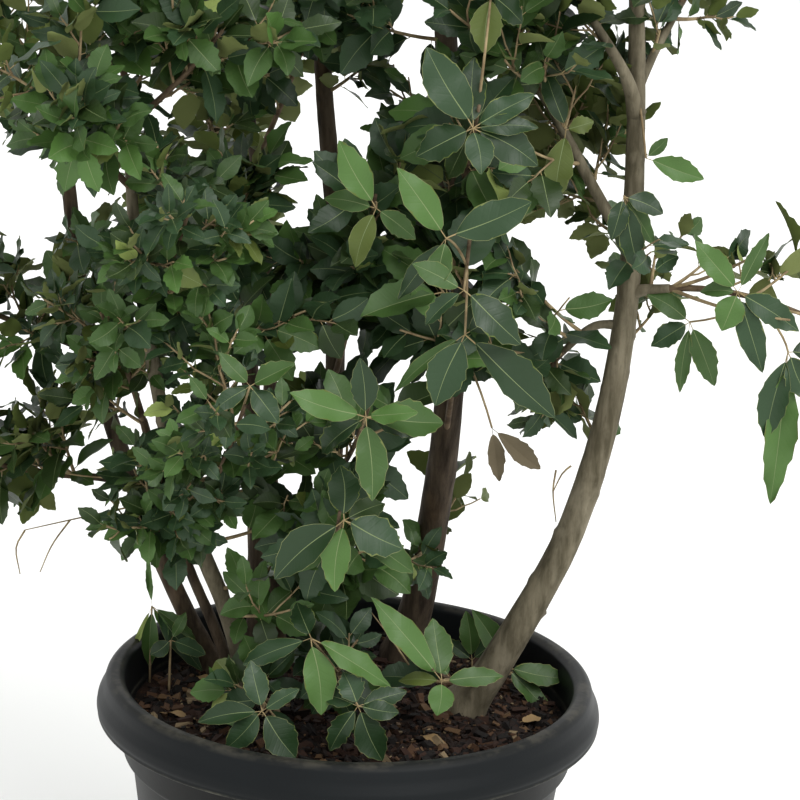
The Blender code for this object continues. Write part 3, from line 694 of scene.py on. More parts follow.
Mass = namedtuple("Mass", "carrier height tip reach leaf sides")
MASSES = {
    "leaves_foot_left": Mass("stem_front_left", 345, (-62, -128, 378), 60, 46, 2),
    "leaves_foot_middle": Mass("stem_middle", 350, (-8, -112, 398), 62, 46, 2),
    "leaves_foot_right": Mass("stem_right", 352, (70, -100, 400), 62, 54, 2),
    "leaves_foot_rear": Mass("stem_right", 345, (170, 70, 392), 60, 48, 2),
    "leaves_low_front": Mass("stem_middle", 425, (-14, -140, 548), 82, 58, 3),
    "leaves_mid_front": Mass("stem_middle", 520, (8, -165, 650), 85, 58, 3),
    "leaves_centre": Mass("stem_tall", 560, (82, -130, 790), 100, 70, 3),
    "leaves_front_high": Mass("stem_tall", 760, (84, -115, 880), 90, 62, 3),
    "leaves_inner": Mass("stem_middle", 610, (5, -60, 800), 95, 56, 3),
    "leaves_twiggy": Mass("stem_front_left", 500, (-92, -165, 640), 105, 31, 3),
    "leaves_twiggy_low": Mass("stem_thin", 455, (-175, -90, 530), 80, 36, 3),
    "leaves_thin_tip": Mass("stem_thin", None, (-215, -110, 700), 95, 36, 3),
    "leaves_left_shoot": Mass("stem_front_left", 690, (-140, -170, 790), 90, 33, 3),
    "leaves_upper_left": Mass("stem_front_left", 800, (-240, -170, 880), 100, 43, 3),
    "leaves_upper_inner": Mass("stem_front_left", 850, (-120, -120, 930), 90, 48, 3),
    "leaves_front_left_tip": Mass("stem_front_left", None, (-200, -130, 1060), 130, 50, 3),
    "leaves_far_left_high": Mass("stem_far_left", 850, (-395, 60, 930), 115, 44, 3),
    "leaves_side_upper": Mass("bough_left_upper", None, (-425, 40, 700), 112, 47, 4),
    "leaves_side_lower": Mass("bough_left_lower", None, (-385, 35, 545), 98, 47, 4),
    "leaves_dark_middle": Mass("stem_dark", 690, (-125, 10, 780), 90, 50, 3),
    "leaves_rear_low": Mass("stem_rear", 640, (-170, 320, 780), 120, 54, 3),
    "leaves_rear_high": Mass("stem_rear", 800, (-60, 330, 950), 115, 54, 3),
    "leaves_middle_high": Mass("stem_middle", 900, (-45, 0, 980), 85, 52, 3),
    "leaves_tall_rear": Mass("stem_tall", 680, (80, 260, 840), 115, 54, 3),
    "leaves_inner_bough": Mass("bough_right_inner", 850, (165, 90, 860), 85, 52, 3),
    "leaves_inner_tip": Mass("bough_right_inner", None, (100, -80, 1150), 115, 54, 3),
    "leaves_left_fork": Mass("bough_right_left_fork", None, (180, -130, 1080), 110, 54, 3),
    "leaves_right_fork": Mass("bough_right_right_fork", None, (370, 50, 1160), 130, 54, 3),
    "leaves_right_low": Mass("bough_right_low", None, (160, 20, 610), 60, 46, 2),
    "leaves_right_side": Mass("bough_right_side", None, (425, -60, 690), 110, 58, 4),
    "leaves_far_left_tip": Mass("stem_far_left", None, (-380, 140, 1400), 150, 56, 4),
    "leaves_dark_tip": Mass("stem_dark", None, (-190, 90, 1520), 145, 56, 4),
    "leaves_rear_tip": Mass("stem_rear", None, (-180, 310, 1340), 150, 56, 4),
    "leaves_middle_tip": Mass("stem_middle", None, (-40, 60, 1670), 140, 56, 4),
    "leaves_tall_tip": Mass("stem_tall", None, (50, -40, 1560), 140, 56, 4),
    "leaves_tall_side": Mass("bough_tall_side", None, (130, 180, 1420), 145, 56, 4),
    "leaves_right_tip": Mass("stem_right", None, (230, 10, 1400), 145, 56, 4),
    "leaves_crown_front": Mass("stem_middle", 1040, (-60, -130, 1280), 145, 56, 4),
    "leaves_crown_rear": Mass("stem_middle", 1060, (-20, 310, 1200), 140, 56, 3),
    "leaves_crown_right": Mass("bough_tall_side", 985, (220, 290, 1130), 140, 56, 3),
    "leaves_crown_left": Mass("stem_dark", 1020, (-290, -20, 1240), 140, 56, 3),
}
Twig = namedtuple("Twig", "path radii leaves_from order")


def shoot_path(mass):
    """The mass's own shoot, which goes on from a tip, or leaves a stem's side and then turns up."""
    path = paths[mass.carrier]
    heading = tangents(path)[-1]
    from_tip = mass.height is None
    root = path[-1] - heading * SHOOT_SUNK * MM if from_tip else point_at_height(path, mass.height * MM)
    tip = Vector(mass.tip) * MM
    span = tip - root
    if from_tip:
        bend = root + heading * span.length * SHOOT_PULL
    else:
        bend = root + span * 0.5 - UP * Vector((span.x, span.y)).length * SHOOT_SAG
    return even_path(bent_path(root, bend, tip, SHOOT_STEPS), span.length / SHOOT_STEPS)


def along(path, share):
    place = min(share * (len(path) - 1), len(path) - 1.001)
    return path[int(place)].lerp(path[int(place) + 1], place - int(place))


def space_radius(mass, share):
    """How far the mass reaches from its shoot: less at the root, and all of it from the middle on."""
    return mass.reach * MM * min(1.0, 0.5 + share)


def keeps_to_space(mass, shoot, point, spare):
    nearest = min((point - place).length - space_radius(mass, index / (len(shoot) - 1))
                  for index, place in enumerate(shoot))
    return nearest <= spare


def turned_round(ahead, angle):
    """A direction square to another one, turned round it."""
    across = ahead.orthogonal().normalized()
    across.rotate(Matrix.Rotation(angle, 3, ahead))
    return across


def twig_path(root, heading, length, rng):
    """A thin twig that bends up to the light and wavers a little from leaf to leaf."""
    bent = [root]
    side = heading.orthogonal().normalized()
    for step in range(1, TWIG_STEPS + 1):
        share = step / TWIG_STEPS
        waver = side * rng.uniform(-TWIG_WAVER, TWIG_WAVER)
        waver = waver + heading.cross(side) * rng.uniform(-TWIG_WAVER, TWIG_WAVER)
        bent.append(root + (heading * share + UP * TWIG_BEND * share ** 2 + waver) * length)
    return bent


def fine_twigs(mass, twig, heading, length, rng):
    """Still finer twigs round a side twig, shorter towards its end."""
    found = []
    count = round(length / MM / (mass.leaf * LEAF_ALLOWANCE))
    spin = rng.uniform(0, math.tau)
    for number in range(count):
        start = FINE_ALONG[0] + FINE_ALONG[1] * (number + 0.5) / count
        aside = turned_round(heading, spin + number * GOLDEN_ANGLE)
        way = (heading * FINE_AHEAD + aside * FINE_ASIDE + UP * TWIG_LIFT * 0.5).normalized()
        short = max(length * (1 - start) * FINE_SHARE, FINE_LEAST * mass.leaf * MM)
        short *= rng.uniform(*FINE_LENGTH)
        path = twig_path(along(twig, start), way, short, rng)
        found.append(Twig(path, FINE_RADIUS, LEAVES_FROM[2], 2))
    return found


def twigs_of(mass, shoot, seed):
    """The solids' side twigs with others beside each, and finer ones along them all."""
    rng = random.Random(seed)
    fine = random.Random(seed + FINE_SEED)
    directions = tangents(shoot)
    turn = rng.uniform(0, math.tau)
    reaches = [rng.uniform(*TWIG_REACH) for _ in range(mass.sides)]
    first = FIRST_TWIG_ON_TIP if mass.height is None else FIRST_TWIG_ON_SIDE
    grown = [Twig(shoot, SHOOT_RADIUS, LEAVES_FROM[0], 0)]
    for index in range(mass.sides * FINER):
        share = first + (LAST_TWIG - first) * (index + 0.5) / (mass.sides * FINER)
        root = along(shoot, share)
        ahead = directions[min(len(directions) - 1, round(share * (len(shoot) - 1)))]
        angle = turn + index // FINER * GOLDEN_ANGLE + (index % FINER - 1) * math.tau / FINER
        aside = turned_round(ahead, angle)
        heading = ahead * math.cos(TWIG_SPREAD) + aside * math.sin(TWIG_SPREAD) + UP * TWIG_LIFT
        heading.normalize()
        reach = reaches[index // FINER] if index % FINER == 1 else fine.uniform(*BESIDE_REACH)
        length = space_radius(mass, share) * reach - mass.leaf * LEAF_ALLOWANCE * MM
        length = max(length, TWIG_LEAST * mass.reach * MM)
        twig = twig_path(root, heading, length, fine)
        grown.append(Twig(twig, TWIG_RADIUS, LEAVES_FROM[1], 1))
        grown += fine_twigs(mass, twig, heading, length, fine)
    return grown


grown = {}
for seed, (name, mass) in enumerate(MASSES.items()):
    grown[name] = twigs_of(mass, shoot_path(mass), seed)

# Leaves
# Thick leathery evergreen blades with short stalks, toothed or nearly plain at the edge and folded a little
# along a pale midrib. Fourteen shapes serve the crown, and the same ones with a pale strip along the edge
# serve the leaves that stand out. Their measures are shares of the length from the stalk's foot to the tip.
LEAF_SHAPES = 14
STALK = 0.11
STALK_RADIUS = 0.011
STALK_SIDES = 3
STALK_INTO = 0.03
STALK_DROP = 0.008
EDGE = 0.006
RIB = 0.0065
RIB_TAPER = 1.25
BLADE_HALF = (0.225, 0.295)
WIDEST_AT = (0.42, 0.5)
FULLNESS = 0.8
FOLD = (0.05, 0.42)
DROOP = (-0.04, 0.24)
SWAY = 0.05
WAVE = (0.012, 0.045)
WAVES_ALONG = 11
WAVE_ON_LEFT = 1.7
BACK_DROP = (0.004, 0.012)
TEETH = (3, 3, 4, 4)
TEETH_FROM = 0.2
TEETH_TO = 0.88
TOOTH_TIP = (0.55, 1)
TOOTH_NOTCH = (0.95, -0.6)
TOOTH_LEAN = 0.012
TOOTH_BITES = (0.03, 0.07, 0.11)
TOOTH_UNEVEN = (0.4, 1.5)
FIRST_ROWS = (0.045, 0.12, TEETH_FROM)
LAST_ROW = 0.95

Leaf = namedtuple("Leaf", "shape root along face length wide tone")


def strip(foot, rows, tip, column):
    """The triangles of one column of a blade, from its foot to its tip."""
    found = [(foot, rows[0][column + 1], rows[0][column]), (rows[-1][column], rows[-1][column + 1], tip)]
    for low, high in zip(rows, rows[1:]):
        found += [(low[column], low[column + 1], high[column + 1]),
                  (low[column], high[column + 1], high[column])]
    return found


def leaf_shape(rng, edged):
    """One blade on its stalk, one unit long from stalk to tip: points, triangles and what each shows."""
    teeth = rng.choice(TEETH)
    half = rng.uniform(*BLADE_HALF)
    widest = rng.uniform(*WIDEST_AT)
    fold = rng.uniform(*FOLD)
    droop = rng.uniform(*DROOP)
    sway = rng.uniform(-SWAY, SWAY)
    wave = rng.uniform(*WAVE)
    phase = rng.uniform(0, math.tau)
    bite = rng.choice(TOOTH_BITES)
    skew = math.log(0.5) / math.log(widest)
    run = (TEETH_TO - TEETH_FROM) / teeth
    stations = [(share, 0) for share in FIRST_ROWS]
    for tooth in range(teeth):
        stations += [(TEETH_FROM + (tooth + place) * run, out) for place, out in (TOOTH_TIP, TOOTH_NOTCH)]
    stations.append((LAST_ROW, 0))

    def spot(share, x, width, drop=0.0):
        ripple = math.sin(share * WAVES_ALONG + phase * (1 if x > 0 else WAVE_ON_LEFT))
        rise = fold * abs(x * width) + wave * ripple * x ** 2
        return (x * width + sway * math.sin(math.pi * share), STALK + share * (1 - STALK),
                rise - droop * share ** 2 - drop)

    points = [spot(0, 0, 0)]
    rows = []
    for share, out in stations:
        width = half * math.sin(math.pi * share ** skew) ** FULLNESS
        left, right = (width * (1 + bite * out * rng.uniform(*TOOTH_UNEVEN)) for _ in range(2))
        tooth = share + TOOTH_LEAN * out
        rib = RIB * (RIB_TAPER - share)
        row = [spot(tooth, -1, left), spot(tooth, -1 + EDGE / left, left), spot(share, -rib / left, left),
               spot(share, rib / right, right), spot(tooth, 1 - EDGE / right, right), spot(tooth, 1, right)]
        start = len(points)
        points += row if edged else [row[0], row[2], row[3], row[5]]
        rows.append(range(start, len(points)))
    points.append(spot(1, 0, 0))
    faces, shows = [], []
    for column, kind in enumerate(("edge", "top", "rib", "top", "edge") if edged else ("top", "rib", "top")):
        found = strip(0, rows, len(points) - 1, column)
        faces += found
        shows += [kind] * len(found)
    foot = len(points)
    points.append(spot(0, 0, 0, BACK_DROP[0]))
    back_rows = []
    for row, (share, _) in zip(rows, stations):
        start = len(points)
        points += [points[row[0]], spot(share, 0, 0, BACK_DROP[1]), points[row[-1]]]
        back_rows.append(range(start, len(points)))
    points.append(spot(1, 0, 0))
    for column in range(2):
        found = [face[::-1] for face in strip(foot, back_rows, len(points) - 1, column)]
        faces += found
        shows += ["back"] * len(found)
    low = len(points)
    high = low + STALK_SIDES
    for share in (0, STALK + STALK_INTO):
        for side in range(STALK_SIDES):
            angle = math.tau * side / STALK_SIDES
            rise = STALK_RADIUS * math.sin(angle) - STALK_DROP
            points.append((STALK_RADIUS * math.cos(angle), share, rise))
    for side in range(STALK_SIDES):
        after = (side + 1) % STALK_SIDES
        faces += [(low + side, high + side, low + after), (low + after, high + side, high + after)]
    shows += ["stalk"] * STALK_SIDES * 2
    return np.array(points), np.array(faces), shows


leaf_shapes = [leaf_shape(random.Random(number % LEAF_SHAPES), number >= LEAF_SHAPES)
               for number in range(LEAF_SHAPES * 2)]

# Openings where the photograph shows the white behind: pixel across, pixel down, radius in pixels
CLEARINGS = {
    "left_of_crown": (22, 188, 30), "left_low": (45, 660, 118), "left_by_pot": (95, 560, 22),
    "left_edge": (6, 530, 6), "by_stem_dark": (290, 188, 9), "over_stem_dark": (303, 152, 9),
    "by_stem_rear": (300, 216, 10), "by_stem_middle": (386, 222, 9), "top_middle": (405, 30, 22),
    "right_of_tall": (512, 560, 62), "over_low_right": (565, 480, 42), "under_inner_bough": (566, 282, 30),
    "by_high_spray": (548, 222, 10), "right_edge_high": (772, 120, 62), "right_edge": (742, 205, 26),
    "right_low": (700, 640, 150), "right_of_stem": (662, 216, 16), "right_of_centre": (556, 250, 20),
    "left_of_low_bough": (528, 330, 14), "by_middle_low": (398, 462, 12), "between_left": (200, 218, 8),
    "by_right_stem_low": (548, 445, 16), "right_middle": (668, 440, 44), "left_of_tall_low": (410, 470, 12),
    "between_stems_low": (285, 480, 14), "by_tall_top": (410, 80, 12), "high_right": (545, 95, 14),
}
# Leaves that stand out in the photograph. A rosette has its mass, the pixel and depth of its node, and its
# leaves: the tip's pixel, the width in pixels, how far the tip comes forward in millimetres, and the tone
# A leaf of the olive tone has painted light shining through it from behind.
Rosette = namedtuple("Rosette", "mass node depth leaves")
ROSETTES = [
    Rosette("leaves_mid_front", (366, 417), -168, [
        (289, 393, 30, 14, "fresh"), (360, 360, 29, 12, "dark"), (412, 408, 23, 24, "fresh"),
        (446, 420, 43, -22, "mid"), (372, 501, 34, 10, "mid"), (416, 434, 16, -25, "dark"),
        (310, 452, 30, -30, "dark")]),
    Rosette("leaves_low_front", (344, 520), -142, [
        (271, 577, 40, 12, "dark"), (334, 592, 31, 18, "fresh"), (404, 545, 44, 8, "cool"),
        (421, 573, 29, -16, "mid"), (339, 464, 36, -24, "dark"), (388, 499, 26, -30, "deep")]),
    Rosette("leaves_foot_right", (442, 681), -100, [
        (377, 597, 29, 0, "fresh"), (434, 617, 33, -25, "mid"), (505, 674, 22, -6, "mid"),
        (437, 713, 27, 22, "fresh"), (396, 678, 15, -12, "olive")]),
    Rosette("leaves_foot_middle", (311, 638), -112, [
        (396, 680, 28, 8, "fresh"), (321, 715, 33, 14, "fresh"), (240, 665, 24, -14, "cool"),
        (296, 600, 26, -30, "dark")]),
    Rosette("leaves_foot_middle", (358, 706), -132, [
        (399, 713, 23, 4, "dark"), (327, 751, 25, 10, "dark"), (383, 762, 34, 8, "dark"),
        (344, 672, 29, -12, "cool"), (408, 690, 22, -14, "dark"), (316, 690, 22, -16, "dark")]),
    Rosette("leaves_foot_left", (262, 711), -132, [
        (197, 719, 24, 6, "dark"), (224, 750, 27, 8, "cool"), (297, 758, 37, 8, "dark"),
        (251, 660, 27, -14, "cool"), (298, 688, 18, 0, "cool")]),
    Rosette("leaves_foot_rear", (507, 668), 48, [
        (568, 677, 25, 0, "mid"), (549, 715, 21, 10, "mid"), (553, 686, 19, -8, "dark"),
        (476, 612, 25, 6, "mid")]),
    Rosette("leaves_front_high", (473, 128), -118, [
        (429, 46, 44, 0, "cool"), (534, 90, 28, -6, "cool"), (538, 123, 23, 6, "dark"),
        (541, 162, 40, 4, "dark"), (482, 169, 30, 26, "cool"), (414, 154, 42, 0, "dark"),
        (474, 58, 30, -30, "dark"), (440, 180, 30, -24, "deep")]),
    Rosette("leaves_centre", (446, 238), -132, [
        (401, 168, 33, 10, "fresh"), (532, 202, 40, 2, "cool"), (437, 288, 26, 22, "mid"),
        (398, 300, 22, -10, "dark")]),
    Rosette("leaves_centre", (464, 290), -150, [
        (525, 340, 40, 10, "dark"), (412, 264, 26, 6, "mid"), (421, 322, 22, 0, "cool")]),
    Rosette("leaves_centre", (465, 334), -140, [
        (559, 416, 46, 8, "dark"), (435, 406, 42, 12, "cool"), (505, 312, 26, -20, "dark"),
        (388, 388, 16, 0, "mid")]),
    Rosette("leaves_inner", (376, 208), -120, [
        (338, 140, 33, 8, "fresh"), (351, 268, 26, 0, "olive"), (418, 240, 24, -6, "mid"),
        (322, 196, 22, -10, "mid")]),
    Rosette("leaves_centre", (492, 428), -70, [(500, 483, 18, 0, "dead"), (543, 470, 22, -10, "dead")]),
    Rosette("leaves_front_high", (491, -6), -90, [(485, 53, 34, 10, "olive"), (525, 22, 34, -8, "dark")]),
    Rosette("stem_right", (646, 158), -20, [(705, 178, 26, 8, "fresh"), (668, 138, 13, 0, "mid")]),
    Rosette("stem_right", (624, 196), -50, [
        (663, 214, 24, 0, "dark"), (612, 240, 22, 10, "dark"), (640, 274, 26, 12, "dark"),
        (657, 246, 20, -8, "mid")]),
    Rosette("leaves_right_side", (738, 292), -70, [
        (697, 241, 28, 0, "fresh"), (722, 330, 30, 10, "fresh"), (770, 233, 18, 0, "mid"),
        (763, 374, 27, 12, "cool"), (802, 330, 30, 10, "cool"), (700, 290, 18, -6, "mid")]),
    Rosette("leaves_right_side", (788, 352), -50, [
        (812, 400, 30, 8, "cool"), (765, 440, 32, 8, "cool"), (772, 508, 34, 6, "fresh"),
        (830, 350, 30, 0, "dark")]),
    Rosette("leaves_right_side", (690, 322), -30, [
        (680, 394, 17, 0, "mid"), (716, 387, 26, 6, "mid"), (650, 345, 26, 0, "cool"),
        (650, 292, 24, -4, "mid")]),
    Rosette("bough_right_inner", (566, 130), -30, [
        (556, 201, 30, 8, "olive"), (594, 120, 20, 0, "olive"), (548, 68, 24, -10, "dark")]),
    Rosette("leaves_twiggy", (250, 386), -170, [
        (293, 362, 24, 8, "mid"), (279, 422, 26, 10, "cool"), (222, 352, 20, 6, "mid"),
        (214, 410, 20, 10, "cool")]),
]
# Leaves along the twigs
# They stand all round the young ends by the golden angle, closer together and shorter towards the tip, and
# look on along the twig, up to the sky and out of the crown to the light. Angles are in degrees.
LEAF_SEED = 2000
LEAVES_APART = 0.17
FEWEST_LEAVES = 4
MOST_LEAVES = 12
CROWDING = 0.8
NEIGHBOURHOOD = 0.1
LEAN = (50, 80)
LEAN_LOST = 0.45
LAST_LEAN = (5, 25)
HANG = 0.25
FACE_AHEAD = 0.5
FACE_UP = 0.35
FACE_OUTWARD = 0.6
FACE_LEAST = 0.1
FACE_ROLL = 0.3
CROWN_AXIS = Vector((-0.02, 0.08, 0))
LEAF_LENGTH = (0.72, 1.15)
LENGTH_LOST = 0.25
LEAF_WIDTH = (0.85, 1.15)
# Greens from the commonest to the rarest. A spray shares one, and a few of its leaves differ.
# The olive green is painted light: the yellow-green of light that shines through a blade from behind.
GREENS = ("dark", "dark", "cool", "cool", "deep", "mid", "mid", "fresh", "olive")
SPRAY_SHARE = 0.7
NEW_SHARE = 0.006
# Room that a leaf needs, in millimetres: off the bark at its middle and its tip, past its mass, over the
# litter, and before a leaf that stands out
BARK_ROOM = (3, 1.5)
BARK_SEARCH = 30
MASS_ROOM = 6
LITTER_LIFT = 5
ROSETTE_ROOM = 34
ROSETTE_SHARE = 0.8
LEAF_MIDDLE = 0.55
POT_ROOM = (MOUTH_RADIUS - 10, POT_HEIGHT + 4)

limb_tree = kdtree.KDTree(sum(len(path) for path in paths.values()))
limb_reach = []
for name, path in paths.items():
    for index, point in enumerate(path):
        limb_tree.insert(point, len(limb_reach))
        limb_reach.append(limb_radius(limbs[name], index / (len(path) - 1), index * BARK_RING) * MM)
limb_tree.balance()


def in_picture(point):
    """The pixel at which a point shows."""
    away = point - EYE
    zoom = ZOOM / away.dot(forward)
    return PICTURE / 2 + away.dot(picture_right) * zoom, PICTURE / 2 - away.dot(picture_up) * zoom


def hits_limb(point, spare):
    """Whether a point lies in a stem or bough, or so many millimetres over its bark."""
    return any(away < limb_reach[index] + spare * MM
               for _, index, away in limb_tree.find_range(point, BARK_SEARCH * MM))


def in_clearing(point):
    across, down = in_picture(point)
    return any(math.hypot(across - u, down - v) < radius for u, v, radius in CLEARINGS.values())


def in_pot(point):
    """Whether a point lies in the compost or in the pot's wall."""
    radius, height = math.hypot(point.x, point.y) / MM, point.z / MM
    in_wall = height < POT_ROOM[1] and radius > POT_ROOM[0]
    return in_wall or height < SOIL_LEVEL + LITTER_LIFT and radius < LIP_RADIUS


def hides_rosette(point):
    """Whether a point lies before a leaf that stands out in the photograph."""
    pixel = in_picture(point)
    for rosette in ROSETTES:
        reach = max(math.dist(rosette.node, leaf[:2]) for leaf in rosette.leaves)
        near = math.dist(rosette.node, pixel) < reach * ROSETTE_SHARE
        if near and point.y < (rosette.depth + ROSETTE_ROOM) * MM:
            return True
    return False


def is_taken(point):
    return in_clearing(point) or in_pot(point) or hides_rosette(point)


def has_room(leaf):
    middle = leaf.root + leaf.along * leaf.length * LEAF_MIDDLE
    tip = leaf.root + leaf.along * leaf.length
    clear = not hits_limb(middle, BARK_ROOM[0]) and not hits_limb(tip, BARK_ROOM[1])
    return clear and not is_taken(middle) and not is_taken(tip)


def facing(root, way, ahead):
    """The way a blade's face looks, square to the blade."""
    outward = root - CROWN_AXIS
    outward.z = 0
    face = ahead * FACE_AHEAD + UP * FACE_UP + outward.normalized() * FACE_OUTWARD
    face -= way * face.dot(way)
    if face.length < FACE_LEAST:
        face = way.orthogonal()
    return face.normalized()


def tone_of(spray, rng):
    """A spray's leaves share a green, and a few differ from it."""
    pick = spray * SPRAY_SHARE + rng.random() * (1 - SPRAY_SHARE)
    return "new" if rng.random() < NEW_SHARE else GREENS[min(len(GREENS) - 1, int(pick * len(GREENS)))]


def leaves_on(twig, size, rng):
    """Leaves all round a twig's outer part by the golden angle, with one at its very end."""
    length = sum((end - start).length for start, end in zip(twig.path, twig.path[1:]))
    length *= 1 - twig.leaves_from
    count = min(MOST_LEAVES, max(FEWEST_LEAVES, round(length / MM / (size * LEAVES_APART))))
    turn = rng.uniform(0, math.tau)
    spray = rng.random()
    found = []
    for index in range(count + 1):
        share = index / count
        place = twig.leaves_from + (1 - twig.leaves_from) * share ** CROWDING
        root = along(twig.path, place)
        ahead = along(twig.path, min(1, place + NEIGHBOURHOOD)) - along(twig.path, place - NEIGHBOURHOOD)
        ahead.normalize()
        across = turned_round(ahead, turn + index * GOLDEN_ANGLE)
        lean = rng.uniform(*LEAN) * (1 - LEAN_LOST * share) if index < count else rng.uniform(*LAST_LEAN)
        lean = math.radians(lean)
        way = (ahead * math.cos(lean) + across * math.sin(lean) - UP * rng.uniform(0, HANG)).normalized()
        face = facing(root, way, ahead)
        face.rotate(Matrix.Rotation(rng.gauss(0, FACE_ROLL), 3, way))
        long = size * rng.uniform(*LEAF_LENGTH) * (1 - LENGTH_LOST * share) * MM
        found.append(Leaf(rng.randrange(LEAF_SHAPES), root, way, face, long, rng.uniform(*LEAF_WIDTH),
                          tone_of(spray, rng)))
    return found


leaves = {}
for seed, (name, mass) in enumerate(MASSES.items()):
    rng = random.Random(seed + LEAF_SEED)
    shoot = grown[name][0].path
    kept = []
    leaves[name] = []
    for twig in grown[name]:
        if twig.order and is_taken(twig.path[-1]):
            continue
        found = [leaf for leaf in leaves_on(twig, mass.leaf, rng) if has_room(leaf)
                 and keeps_to_space(mass, shoot, leaf.root + leaf.along * leaf.length, MASS_ROOM * MM)]
        if found or not twig.order:
            kept.append(twig)
        leaves[name] += found
    grown[name] = kept

# Leaves that stand out, and sprouts
# Each stands in its place in the photograph, on a stalk that leaves the shoot or limb beside it. The sprouts
# stand on stalks that rise from the compost. Lengths are in millimetres.
ROSETTE_SEED = 3000
ROSETTE_STALK = 60
ROSETTE_STEPS = 6
ROSETTE_PULL = 0.25
ROSETTE_UP = 0.45
ROSETTE_ROLL = 0.12
SPROUT_BEFORE = 10
SPROUT_SUNK = 4
SPROUT_POINTS = 4
SPROUTS = [
    Rosette("soil", (152, 606), 60, [
        (147, 556, 7, 0, "fresh"), (168, 636, 9, 8, "fresh"), (197, 637, 15, 10, "mid"),
        (150, 668, 17, 16, "mid"), (206, 668, 22, 14, "cool"), (127, 665, 6, 10, "new")]),
    Rosette("soil", (171, 640), 40, [(206, 652, 20, 6, "cool"), (150, 655, 18, 8, "dark"),
    (186, 612, 12, 0, "mid")]),
    Rosette("soil", (472, 660), 90, [(466, 612, 22, 0, "mid"), (498, 636, 18, 0, "dark"),
    (446, 640, 16, 0, "cool")]),
]


def square_to(face, way):
    """The direction nearest to the first one that is square to the second."""
    return (face - way * face.dot(way)).normalized()


for seed, rosette in enumerate(ROSETTES + SPROUTS):
    rng = random.Random(seed + ROSETTE_SEED)
    node = on_sight(*rosette.node, rosette.depth)
    if rosette.mass == "soil":
        foot = Vector((node.x, node.y - SPROUT_BEFORE * MM, (SOIL_LEVEL - SPROUT_SUNK) * MM))
        shoot = [foot + UP * MM * rise for rise in range(SPROUT_POINTS)]
    else:
        shoot = grown[rosette.mass][0].path if rosette.mass in MASSES else paths[rosette.mass]
    mass = rosette.mass if rosette.mass in MASSES else "leaves_foot_rear"
    start = min(shoot[2:-1], key=lambda point: abs((point - node).length - ROSETTE_STALK * MM))
    heading = (shoot[-1] - shoot[-3]).normalized()
    bend = start.lerp(node, 0.5) + heading * (node - start).length * ROSETTE_PULL
    grown[mass].append(Twig(bent_path(start, bend, node, ROSETTE_STEPS), TWIG_RADIUS, 1, 1))
    for across, down, width, nearer, tone in rosette.leaves:
        tip = on_sight(across, down, rosette.depth - nearer)
        way = (tip - node).normalized()
        face = square_to((EYE - node).normalized() + UP * ROSETTE_UP, way)
        face.rotate(Matrix.Rotation(rng.gauss(0, ROSETTE_ROLL), 3, way))
        shape = LEAF_SHAPES + rng.randrange(LEAF_SHAPES)
        long = (tip - node).length
        wide = width / ZOOM * (node - EYE).dot(forward) / long / np.ptp(leaf_shapes[shape][0][:, 0])
        leaves[mass].append(Leaf(shape, node, way, face, long, wide, tone))

# Litter and dead twigs
# Dry brown leaves that fell on the compost, and bare twigs that died in the shade.
LITTER_SEED = 5000
LITTER_TILT = 0.3
LITTER_WIDTH = 2.2
DEAD_SPACING = 6
DEAD_RADIUS = (1.0, 0.5)
# Fallen leaves on the compost: pixels of the stalk and tip, and the width in pixels
FALLEN = [(160, 712, 199, 714, 13), (196, 676, 213, 679, 8), (240, 608, 249, 612, 6), (420, 735, 446, 742, 9),
          (520, 722, 541, 715, 9), (326, 606, 336, 610, 6)]
# Dead twigs without leaves: pixels and depths of their bends
DEAD_TWIGS = [
    [(120, 479, 60), (70, 474, 50), (20, 461, 40)], [(130, 507, 60), (70, 520, 30), (25, 530, 10)],
    [(70, 520, 30), (52, 545, 20), (40, 572, 15)], [(25, 530, 10), (16, 548, 5), (20, 574, 0)],
    [(556, 470, 0), (553, 492, -5), (556, 522, 0)], [(571, 466, -8), (562, 474, -5), (553, 492, -5)],
    [(409, 665, -60), (392, 640, -50), (371, 612, -40)],
]


def on_level(across, down, height):
    """The point on the line of sight through a pixel, at so many millimetres above the floor."""
    ray = forward + picture_right * (across - PICTURE / 2) / ZOOM + picture_up * (PICTURE / 2 - down) / ZOOM
    return EYE + ray * ((height * MM - EYE.z) / ray.z)


rng = random.Random(LITTER_SEED)
for across, down, to_across, to_down, width in FALLEN:
    start = on_level(across, down, SOIL_LEVEL + LITTER_LIFT)
    tip = on_level(to_across, to_down, SOIL_LEVEL + LITTER_LIFT)
    way = (tip - start).normalized()
    tilt = Vector((rng.uniform(-LITTER_TILT, LITTER_TILT), rng.uniform(-LITTER_TILT, LITTER_TILT), 0))
    wide = LITTER_WIDTH * width / math.dist((across, down), (to_across, to_down))
    leaves["leaves_foot_left"].append(Leaf(rng.randrange(LEAF_SHAPES), start, way, square_to(UP + tilt, way),
                                           (tip - start).length, wide, "fallen"))
for bends in DEAD_TWIGS:
    line = smooth_path([on_sight(*bend) for bend in bends], DEAD_SPACING * MM)
    grown["leaves_foot_left"].append(Twig(line, DEAD_RADIUS, 1, 1))

# Outer shoots
# Thin shoots beside the masses that fill the crown in the photograph. Each leaves the nearest stem or bough
# and carries a few sprays towards its end.
OUTER_SEED = 4000
OUTER_BELOW = 30
OUTER_SAG = 0.08
OUTER_STEPS = 8
OUTER_RADIUS = (2.0, 1.0)
OUTER_BARE = 0.15
OUTER_LEAFY = 2.2
SPRAY_LEAVES = 3
FEWEST_SPRAYS = 2
SPRAYS_FROM = 0.55
SPRAYS_OVER = 0.35
SPRAY_AHEAD = 0.6
SPRAY_ASIDE = 0.8
SPRAY_LIFT = 0.15
SPRAY_LENGTH = 0.9
SPRAY_LEAVES_FROM = 0.2
